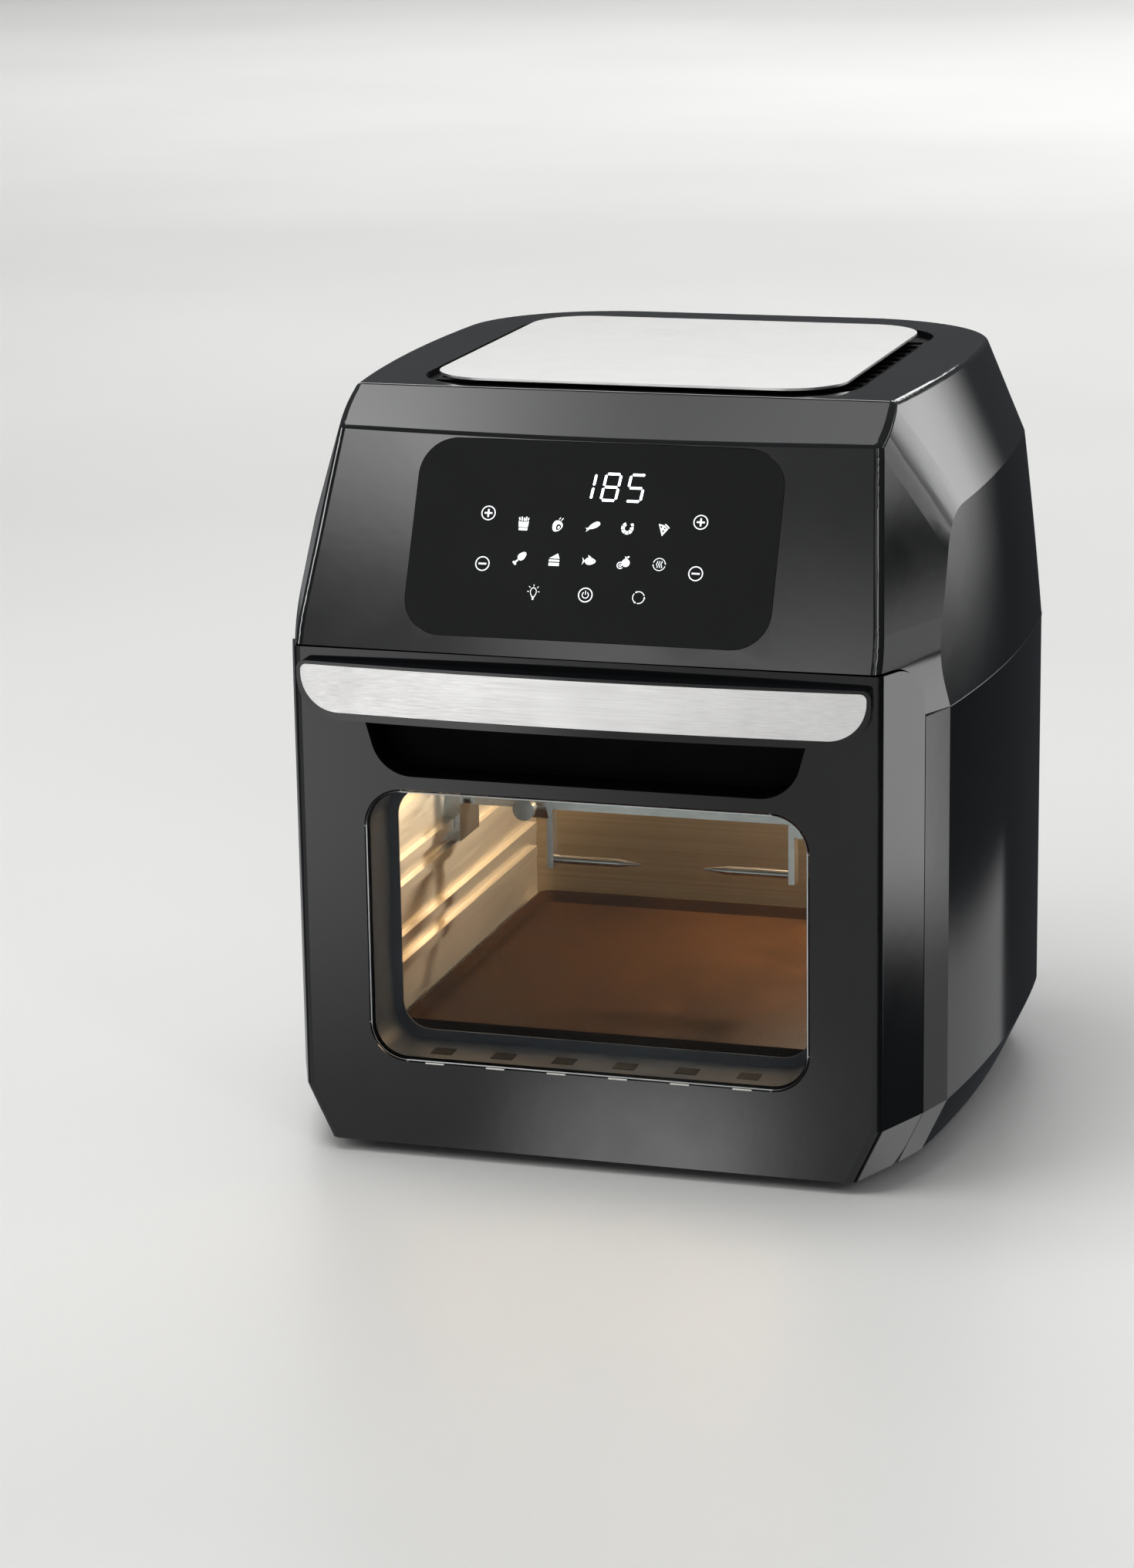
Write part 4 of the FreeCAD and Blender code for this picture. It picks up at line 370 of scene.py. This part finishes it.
# the head of a round arrow, at an angle on its circle
def arrow(r, at, size, sense=1, wide=0.7, long=1.3):
    t = math.radians(at)
    x, y = r * math.cos(t), r * math.sin(t)
    ox, oy = math.cos(t) * size * wide, math.sin(t) * size * wide
    dx, dy = -math.sin(t) * sense * size * long, math.cos(t) * sense * size * long
    return [(x + ox, y + oy), (x + dx, y + dy), (x - ox, y - oy)]


def shift(points, across):
    return [(x + across, y) for x, y in points]


def narrow(points, share):
    return [(x * share, y) for x, y in points]


ring = [disc(0, 0, 3.65), disc(0, 0, 3.12)]
waveLook = {"swing": 0.28, "pace": 0.9, "foot": -1.7, "step": 0.34, "points": 11}
wave = [(waveLook["swing"] * math.sin(k * waveLook["pace"]), waveLook["foot"] + waveLook["step"] * k)
        for k in range(waveLook["points"])]
# each mark is a list of shapes, and a shape is an outline followed by its holes
marks = {
    "plus": [ring, [[(-2, -0.42), (-0.42, -0.42), (-0.42, -2), (0.42, -2), (0.42, -0.42), (2, -0.42),
                     (2, 0.42), (0.42, 0.42), (0.42, 2), (-0.42, 2), (-0.42, 0.42), (-2, 0.42)]]],
    "minus": [ring, [stroke([(-2, 0), (2, 0)], 0.84)]],
    "power": [ring, [arc(1.55, 0.42, 125, 415)], [stroke([(0, 0.2), (0, 2.1)], 0.42)]],
    "turn": [[arc(2.9, 0.4, 20, 110)], [arc(2.9, 0.4, 140, 230)], [arc(2.9, 0.4, 260, 350)],
             [arrow(2.9, 112, 0.75)], [arrow(2.9, 232, 0.75)], [arrow(2.9, 352, 0.75)]],
    "bulb": [[narrow(arc(2.0, 0.42, -55, 235, 0, 0.3), 0.75)],
             [stroke([(-0.95, -1.45), (-0.55, -2.1), (0.55, -2.1), (0.95, -1.45)], 0.4)],
             [stroke([(-0.6, -2.75), (0.6, -2.75)], 0.55)], [stroke([(-0.4, -3.45), (0.4, -3.45)], 0.45)],
             [stroke([(0, 3.0), (0, 3.9)], 0.36)], [stroke([(1.75, 2.3), (2.35, 2.95)], 0.36)],
             [stroke([(-1.75, 2.3), (-2.35, 2.95)], 0.36)],
             [stroke([(2.2, 0.4), (3.1, 0.4)], 0.36)], [stroke([(-2.2, 0.4), (-3.1, 0.4)], 0.36)]],
    "chips": [[[(-2.15, -3.3), (2.15, -3.3), (2.25, -2.1), (-2.25, -2.1)]],
              [[(-2.3, -1.7), (2.3, -1.7), (2.6, 1.3), (1.2, 0.9), (-1.2, 0.9), (-2.6, 1.3)]],
              [stroke([(-1.95, 1.6), (-2.35, 3.1)], 0.7)], [stroke([(-0.85, 1.35), (-1.05, 3.4)], 0.7)],
              [stroke([(0.25, 1.35), (0.2, 3.0)], 0.7)], [stroke([(1.1, 1.35), (1.3, 3.5)], 0.7)],
              [stroke([(2.05, 1.6), (2.45, 3.0)], 0.6)]],
    "roast": [[egg(-0.2, -0.5, 2.9, 2.45, 60), egg(0.45, -0.95, 1.55, 1.2, 60)],
              [egg(0.6, -1.05, 0.75, 0.5, 60)],
              [stroke([(0.5, 2.9), (1.3, 3.8)], 0.42)], [stroke([(1.6, 2.3), (2.6, 3.5)], 0.42)]],
    "fillet": [[egg(0.7, 0.6, 3.2, 1.35, 28)],
               [[(-1.7, -0.75), (-3.6, -0.6), (-2.7, -1.35), (-3.2, -2.6), (-1.5, -1.35)]]],
    "shrimp": [[arc(2.2, 1.75, a, a + 38)] for a in (110, 156, 202, 248, 294, 340)]
              + [[[(2.0, 1.1), (3.2, 1.3), (2.7, 2.6), (1.3, 2.2)]]],
    "pizza": [[[(-2.3, 2.9), (-0.2, -3.1), (2.6, 0.4), (0.6, 2.2)],
               disc(-0.9, 1.4, 0.5), disc(0.2, -0.6, 0.5), disc(0.9, 0.7, 0.42)],
              [stroke([(0.9, 2.8), (2.1, 1.9), (3.1, 0.8)], 0.6)]],
    "drumstick": [[egg(1.0, 1.0, 2.5, 1.7, 225)], [stroke([(-0.95, -0.95), (-2.2, -2.2)], 0.85)],
                  [disc(-2.9, -2.2, 0.62)], [disc(-2.2, -2.95, 0.62)]],
    "cake": [[[(-2.7, 0.5), (1.6, 3.1), (2.6, 0.5)]],
             [stroke([(-2.7, -0.55), (2.6, -0.55)], 1.0)], [stroke([(-2.7, -2.35), (2.6, -2.35)], 1.5)]],
    "fish": [[egg(0.4, 0.0, 2.7, 1.75, 180), disc(2.0, 0.3, 0.32)],
             [[(-2.3, 0.0), (-3.7, 1.9), (-3.2, 0.0), (-3.7, -1.9)]],
             [[(-0.6, 1.95), (0.9, 2.0), (-0.9, 3.0)]]],
    "fruit": [[disc(0.9, 0.0, 2.0)], [arc(1.55, 0.45, 60, 320, -1.7, -1.3)],
              [disc(-1.7, -1.3, 0.8), disc(-1.7, -1.3, 0.4)],
              [egg(1.7, 2.75, 0.95, 0.4, 35)], [stroke([(0.7, 2.1), (0.5, 3.2)], 0.4)]],
    "heat": [[arc(3.0, 0.36, 15, 165)], [arc(3.0, 0.36, 195, 345)],
             [arrow(3.0, 14, 0.6, -1)], [arrow(3.0, 194, 0.6, -1)],
             [stroke(shift(wave, -1.1), 0.36)], [stroke(wave, 0.36)], [stroke(shift(wave, 1.1), 0.36)]],
}
# centres on the panel in mm: across and up, measured on the housing
markPlaces = {
    "row": [("chips", -33.8, 304.4), ("roast", -17.4, 304.4), ("fillet", -0.6, 304.4),
            ("shrimp", 15.9, 304.4), ("pizza", 32.7, 304.4),
            ("drumstick", -33.7, 289.7), ("cake", -17.2, 289.7), ("fish", -0.4, 289.7),
            ("fruit", 16.0, 289.7), ("heat", 32.7, 289.7),
            ("bulb", -25.5, 275.3), ("power", -0.6, 275.3), ("turn", 24.6, 275.3),
            ("plus", -51.3, 308.3), ("plus", 50.1, 308.3), ("minus", -51.5, 286.5), ("minus", 50.2, 286.5)],
    "thick": 0.05, "size": 0.95,
}


# a piece as the rays meet it
def rayTree(piece):
    return BVHTree.FromObject(piece, bpy.context.evaluated_depsgraph_get())


panelTree = rayTree(node["touch_panel"])


# where a mark sits: on the panel's face, turned to it
def onPanel(across, up):
    start = Vector((across / metre, -farOut, up / metre))
    at, normal, _, _ = panelTree.ray_cast(start, Vector((0, 1, 0)))
    normal = normal if normal.y < 0 else -normal
    side = (Vector((1, 0, 0)) - normal * normal.x).normalized()
    turn = Matrix((side, normal.cross(side), normal)).transposed().to_4x4()
    return Matrix.Translation(at) @ turn


# the mesh of a curve, which is then thrown away
def curveMesh(curve):
    holder = bpy.data.objects.new(curve.name, curve)
    mesh = bpy.data.meshes.new_from_object(holder)
    bpy.data.objects.remove(holder)
    bpy.data.curves.remove(curve)
    return mesh


# one filled shape; it is sunk by a tenth of its thickness so that no gap shows behind it
def flatMark(shape, thick, lift=0.4):
    outline = bpy.data.curves.new("mark", "CURVE")
    outline.dimensions = "2D"
    outline.fill_mode = "BOTH"
    outline.extrude = thick / 2 / metre
    for loop in shape:
        line = outline.splines.new("POLY")
        line.points.add(len(loop) - 1)
        for spot, (x, y) in zip(line.points, loop):
            spot.co = (x / metre, y / metre, thick * lift / metre, 1)
        line.use_cyclic_u = True
    return curveMesh(outline)


# one piece out of several meshes, riding on a body
def gather(name, placed, finish, body, weld=1e-6):
    whole = bmesh.new()
    for mesh, place in placed:
        mesh.transform(place)
        whole.from_mesh(mesh)
        bpy.data.meshes.remove(mesh)
    joined = bpy.data.meshes.new(name)
    bmesh.ops.remove_doubles(whole, verts=whole.verts, dist=weld)
    whole.to_mesh(joined)
    whole.free()
    joined.materials.append(finish)
    piece = bpy.data.objects.new(name, joined)
    scene.collection.objects.link(piece)
    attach(piece, body)


flats = []
for name, across, up in markPlaces["row"]:
    place = onPanel(across, up) @ Matrix.Scale(markPlaces["size"], 4)
    flats += [(flatMark(shape, markPlaces["thick"]), place) for shape in marks[name]]
gather("touchMarks", flats, iconPrint, "casing")
print("touch marks drawn:", len(markPlaces["row"]))

# seven-bar numerals in mm, leaning to the right as in the photograph
numerals = {"digits": [(1, -5.7), (8, 6.1), (5, 17.9)], "up": 321.6, "half": 3.5, "tall": 6.2,
            "bar": 1.2, "gap": 0.42, "taper": 0.7, "lean": 0.13, "thick": 0.05,
            "lit": {1: "bc", 5: "acdfg", 8: "abcdefg"}}


def bar(start, end, look):
    (x0, y0), (x1, y1) = start, end
    size = math.hypot(x1 - x0, y1 - y0)
    ux, uy = (x1 - x0) / size, (y1 - y0) / size
    w, g = look["bar"] / 2, look["gap"]
    point = g + w * look["taper"]
    along = [(g, 0), (point, w), (size - point, w), (size - g, 0), (size - point, -w), (point, -w)]
    flat = [(x0 + ux * a - uy * b, y0 + uy * a + ux * b) for a, b in along]
    return [(x + y * look["lean"], y) for x, y in flat]


def numeralShapes(digit, look):
    h, t = look["half"], look["tall"]
    ends = {"a": ((-h, t), (h, t)), "b": ((h, 0), (h, t)), "c": ((h, -t), (h, 0)), "d": ((-h, -t), (h, -t)),
            "e": ((-h, -t), (-h, 0)), "f": ((-h, 0), (-h, t)), "g": ((-h, 0), (h, 0))}
    return [[bar(*ends[k], look)] for k in look["lit"][digit]]


flats = []
for digit, across in numerals["digits"]:
    place = onPanel(across, numerals["up"])
    flats += [(flatMark(shape, numerals["thick"]), place) for shape in numeralShapes(digit, numerals)]
gather("displayNumerals", flats, numeralLight, "casing")
print("numerals drawn")


# a thin round bead along a line of points
def bead(points, radius, closed=False, rounds=2):
    line = bpy.data.curves.new("bead", "CURVE")
    line.dimensions = "3D"
    line.bevel_depth, line.bevel_resolution = radius, rounds
    run = line.splines.new("POLY")
    run.points.add(len(points) - 1)
    for spot, at in zip(run.points, points):
        spot.co = (*at, 1)
    run.use_cyclic_u = closed
    return curveMesh(line)


def block(size):
    solid = bmesh.new()
    bmesh.ops.create_cube(solid, size=1.0, matrix=Matrix.Diagonal((*size, 1)))
    mesh = bpy.data.meshes.new("block")
    solid.to_mesh(mesh)
    solid.free()
    return mesh


# front outline of the outer pane, drawn in a little, where the pale bead of painted highlight runs along its
# ground edge
def paneOutline(piece, look):
    spots = [piece.matrix_world @ v.co for v in piece.data.vertices]
    face = min(p.y for p in spots)
    rim = [p for p in spots if p.y < face + look["rim"]]
    middle = sum(rim, Vector()) / len(rim)
    rim.sort(key=lambda p: math.atan2(p.z - middle.z, p.x - middle.x))
    drawn = []
    for k, p in enumerate(rim):
        along = (rim[(k + 1) % len(rim)] - rim[k - 1]).normalized()
        drawn.append(p + Vector((-along.z, 0, along.x)) * look["inset"])
    return drawn


# tabs stand proud of the pane's lower edge, and below each a thin dead black block lies on the sill of the
# tunnel as painted shade in a slot
windowLook = {"inset": 0.0008, "rim": 0.0001, "edge": 0.00042,
              "tabs": (-0.075, -0.045, -0.015, 0.015, 0.045, 0.075),
              "tab": (0.009, 0.0004, 0.0006), "tabProud": 0.0006,
              "slot": (0.0106, 0.009, 0.0004), "slotDepth": 0.0135, "slotAbove": 0.1}
pane = paneOutline(node["door_window"], windowLook)
# a pale bead along the pane's edge as painted highlight
gather("paneRimHighlight", [(bead(pane, windowLook["edge"], True), Matrix())], edgeHighlightFinish, "door")
paneFoot, paneFace = min(p.z for p in pane), pane[0].y
tunnelTree = rayTree(node["window_tunnel"])
tabs, slotShade = [], []
for x in windowLook["tabs"]:
    tabAt = Vector((x, paneFace - windowLook["tabProud"], paneFoot))
    tabs.append((block(windowLook["tab"]), Matrix.Translation(tabAt)))
    start = Vector((x, paneFace + windowLook["slotDepth"], windowLook["slotAbove"]))
    at, normal, _, _ = tunnelTree.ray_cast(start, Vector((0, 0, -1)))
    upright = normal if normal.z > 0 else -normal
    turn = Vector((0, 0, 1)).rotation_difference(upright).to_matrix().to_4x4()
    slotShade.append((block(windowLook["slot"]), Matrix.Translation(at) @ turn))
gather("paneTabs", tabs, paleAcetal, "door")
# dead black blocks on the sill: painted shade where the slots are
gather("tunnelSlotShade", slotShade, shadeBlackPbt, "door")
print("pane edge, tabs and slots set")

# coated strip that closes the mouth of the cavity above the front frame, seen when the door is open
headerLook = {"size": (0.2244, 0.0006, 0.0252), "at": (0.0, -0.1217, 0.2246)}
header = [(block(headerLook["size"]), Matrix.Translation(headerLook["at"]))]
gather("mouthHeader", header, nonStick, "casing")
print("mouth header set")


# rounded upper edge of each side panel, along the seam under the housing
def seamLine(piece, side, look):
    tree = rayTree(piece)
    spots = [piece.matrix_world @ v.co for v in piece.data.vertices]
    high = max(p.z for p in spots) - look["under"]
    front, rear = min(p.y for p in spots), max(p.y for p in spots)
    line = []
    for k in range(look["steps"] + 1):
        y = front + look["margin"] + (rear - front - 2 * look["margin"]) * k / look["steps"]
        at = tree.ray_cast(Vector((farOut * side, y, high)), Vector((-side, 0, 0)))[0]
        if at and abs(at.x) > look["outside"]:
            line.append(at)
    return line


seamLook = {"under": 0.0003, "steps": 60, "margin": 0.001, "outside": 0.12, "bead": 0.00022}
seams = [seamLine(node["side_panel_" + word], side, seamLook) for word, side in (("right", 1), ("left", -1))]
beads = [(bead(line, seamLook["bead"]), Matrix()) for line in seams]
gather("seamEdges", beads, glossAbs, "casing")
print("seam edges drawn:", [len(line) for line in seams])

# floor: matt pale laminate, wide enough to fill every view
floorLook = {"size": 40.0, "colour": "cbcbc9", "worn": "d3d3d1", "roughness": 0.42, "cloudMm": 900}


def layFloor(look):
    material, tree = blank("paleLaminate")
    low, high = noiseSpan["plastic"]
    where = put(tree, "TexCoord").outputs["Object"]
    cloud = put(tree, "TexNoise", {"Vector": where, "Scale": metre / look["cloudMm"], "Detail": 3.0})
    colour = put(tree, "ValToRGB", {"Fac": cloud.outputs["Fac"]},
                 stops=[(low, look["colour"]), (high, look["worn"])]).outputs["Color"]
    shader = put(tree, "BsdfPrincipled", {"Base Color": colour, "Roughness": look["roughness"]})
    put(tree, "OutputMaterial", {"Surface": shader.outputs["BSDF"]})
    half = look["size"] / 2
    corners = [(-half, -half, 0), (half, -half, 0), (half, half, 0), (-half, half, 0)]
    mesh = bpy.data.meshes.new("floor")
    mesh.from_pydata(corners, [], [(0, 1, 2, 3)])
    mesh.materials.append(material)
    floor = bpy.data.objects.new("floor", mesh)
    scene.collection.objects.link(floor)
    floor.visible_glossy = False
    return floor


floor = layFloor(floorLook)
print("floor laid")

# soft studio light: place and aim in metres, size of the panel, power in watts, seen in polished faces or not
lamps = {
    "overhead": {"at": (-0.5, -0.3, 2.4), "aim": (0, 0, 0.2), "size": (1.6, 1.2),
                 "power": 32, "mirrored": False},
    "frontLeft": {"at": (-1.9, -1.6, 1.9), "aim": (0, -0.1, 0.15), "size": (1.2, 1.2),
                  "power": 20, "mirrored": False},
    "rear": {"at": (-0.8, 2.6, 1.42), "aim": (0, 0.1, 0.36), "size": (2.0, 0.5),
             "power": 10.5, "mirrored": True},
    "backdrop": {"at": (0.0, 5.0, 3.5), "aim": (0, 5.5, 0), "size": (6.0, 2.5),
                 "power": 260, "mirrored": False},
}


def hangLamp(name, look):
    light = bpy.data.lights.new(name, "AREA")
    light.shape = "RECTANGLE"
    light.size, light.size_y = look["size"]
    light.energy = look["power"]
    lamp = bpy.data.objects.new(name, light)
    lamp.location = look["at"]
    lamp.rotation_euler = (Vector(look["aim"]) - Vector(look["at"])).to_track_quat("-Z", "Y").to_euler()
    lamp.visible_camera = False
    lamp.visible_glossy = look["mirrored"]
    scene.collection.objects.link(lamp)


for name, look in lamps.items():
    hangLamp(name, look)

# the oven lamp: a warm glow just inside its glass cap
ovenLook = {"at": (0.088, 0.0725, 0.190), "radius": 0.012, "power": 13.5, "colour": "ffe8cc"}
ovenLight = bpy.data.lights.new("ovenLamp", "POINT")
ovenLight.energy, ovenLight.shadow_soft_size = ovenLook["power"], ovenLook["radius"]
ovenLight.color = linear(ovenLook["colour"])[:3]
ovenLamp = bpy.data.objects.new("ovenLamp", ovenLight)
ovenLamp.location = ovenLook["at"]
scene.collection.objects.link(ovenLamp)
# it lights the oven and not the studio floor, which a real lamp of this size hardly would
unlit = bpy.data.collections.new("unlit")
unlit.objects.link(floor)
unlit.collection_objects[0].light_linking.link_state = "EXCLUDE"
ovenLamp.light_linking.receiver_collection = unlit
print("lamps hung:", len(lamps) + 1)

# surroundings: dim below, pale above, with soft panels of light; each panel has its azimuth from the front,
# elevation, half width and half height in degrees, the share of that given to its soft edge, and its glow
skyLook = [(0.42, "35373a"), (0.56, "585a5c"), (0.9, "8c8d8e")]  # share of the way up, tone
panels = {
    "frontFloor": {"az": -15, "el": -40, "wide": 75, "tall": 42, "soft": 0.3, "glow": 0.48},
    "doorGlow": {"az": -25, "el": -13.5, "wide": 10, "tall": 6, "soft": 0.75, "glow": 1.25},
    "stripGlow": {"az": -17, "el": -4, "wide": 18, "tall": 7.5, "soft": 0.2, "glow": 1.25},
    "frontLow": {"az": -16.2, "el": -19.8, "wide": 2.5, "tall": 1.9, "soft": 0.9, "glow": 3.2},
    "panelBase": {"az": -20, "el": 34, "wide": 14, "tall": 9, "soft": 0.4, "glow": 0.3},
    "frontHigh": {"az": -27.5, "el": 36, "wide": 10, "tall": 3.2, "soft": 0.9, "glow": 5.0},
    "frontMid": {"az": -17, "el": 31.8, "wide": 6.5, "tall": 3.2, "soft": 0.8, "glow": 2.2},
    "frontSide": {"az": -12, "el": 33.8, "wide": 4, "tall": 2.6, "soft": 0.8, "glow": 1.2},
    "frontRight": {"az": 48, "el": 26, "wide": 5, "tall": 14, "soft": 0.5, "glow": 6.0},
    "farLeft": {"az": -80, "el": 20, "wide": 9, "tall": 10, "soft": 0.6, "glow": 9.0},
    "leftFacet": {"az": -148, "el": -9, "wide": 7, "tall": 6, "soft": 0.5, "glow": 0.7},
    "overhead": {"az": -132, "el": 71, "wide": 14, "tall": 9, "soft": 0.7, "glow": 1.6},
    "overLeft": {"az": -116, "el": 62, "wide": 14, "tall": 6, "soft": 0.7, "glow": 4.8},
    "rightStrip": {"az": 121, "el": -11, "wide": 13, "tall": 6.4, "soft": 0.25, "glow": 2.6},
    "rightLow": {"az": 125, "el": -0.1, "wide": 9, "tall": 4.3, "soft": 0.15, "glow": 0.95},
    "rightHigh": {"az": 127, "el": 9, "wide": 9, "tall": 4.2, "soft": 0.15, "glow": 1.4},
    "rearRight": {"az": 149, "el": 3, "wide": 17, "tall": 14, "soft": 0.75, "glow": 2.7},
    "rearRim": {"az": 176, "el": 25, "wide": 14, "tall": 6, "soft": 0.6, "glow": 3.0},
    "rearFloor": {"az": 148, "el": -28, "wide": 17.5, "tall": 11.6, "soft": 0.1, "glow": 0.4},
    "under": {"az": 178, "el": -52, "wide": 40, "tall": 18, "soft": 0.5, "glow": 0.4},
    "leftFloor": {"az": -132, "el": -24, "wide": 34, "tall": 12, "soft": 0.8, "glow": 0.9},
    "rightTop": {"az": 118, "el": 26, "wide": 24, "tall": 5, "soft": 0.6, "glow": 1.6},
    "fillHigh": {"az": 27, "el": 35, "wide": 14, "tall": 8, "soft": 0.8, "glow": 1.0},
    "fillFront": {"az": 22, "el": 14, "wide": 16, "tall": 8, "soft": 0.6, "glow": 0.5},
}


def softPanel(tree, ray, look):
    az, el = math.radians(look["az"]), math.radians(look["el"])
    ahead = Vector((math.sin(az) * math.cos(el), -math.cos(az) * math.cos(el), math.sin(el)))
    aside = Vector((math.cos(az), math.sin(az), 0))
    shares = []
    for axis, half in ((aside, look["wide"]), (aside.cross(ahead), look["tall"])):
        off = put(tree, "VectorMath", {0: ray, 1: axis}, operation="DOT_PRODUCT")
        far = put(tree, "Math", {0: off.outputs["Value"]}, operation="ABSOLUTE")
        reach = math.sin(math.radians(half))
        fade = put(tree, "MapRange", {"Value": far.outputs["Value"], "From Min": reach * (1 - look["soft"]),
                                      "From Max": reach, "To Min": 1.0, "To Max": 0.0},
                   interpolation_type="SMOOTHSTEP")
        shares.append(fade.outputs["Result"])
    facing = put(tree, "VectorMath", {0: ray, 1: ahead}, operation="DOT_PRODUCT")
    before = put(tree, "Math", {0: facing.outputs["Value"], 1: 0.0}, operation="GREATER_THAN")
    both = put(tree, "Math", {0: shares[0], 1: shares[1]}, operation="MULTIPLY")
    lit = put(tree, "Math", {0: both.outputs["Value"], 1: before.outputs["Value"]}, operation="MULTIPLY")
    shone = put(tree, "Math", {0: lit.outputs["Value"], 1: look["glow"]}, operation="MULTIPLY")
    return shone.outputs["Value"]


world = bpy.data.worlds.new("studio")
scene.world = world
world.use_nodes = True
sky = world.node_tree
sky.nodes.clear()
ray = put(sky, "TexCoord").outputs["Generated"]
height = put(sky, "SeparateXYZ", {"Vector": ray}).outputs["Z"]
rise = put(sky, "MapRange", {"Value": height, "From Min": -1.0}).outputs["Result"]
tone = put(sky, "ValToRGB", {"Fac": rise}, stops=skyLook).outputs["Color"]
glow = 0.0
for look in panels.values():
    glow = put(sky, "Math", {0: softPanel(sky, ray, look), 1: glow}, operation="ADD").outputs["Value"]
total = put(sky, "VectorMath", {0: tone, 1: glow}, operation="ADD").outputs["Vector"]
backdrop = put(sky, "Background", {"Color": total, "Strength": 1.0})
put(sky, "OutputWorld", {"Surface": backdrop.outputs["Background"]})
scene.view_settings.view_transform = "Standard"
print("surroundings set:", len(panels), "panels of light")
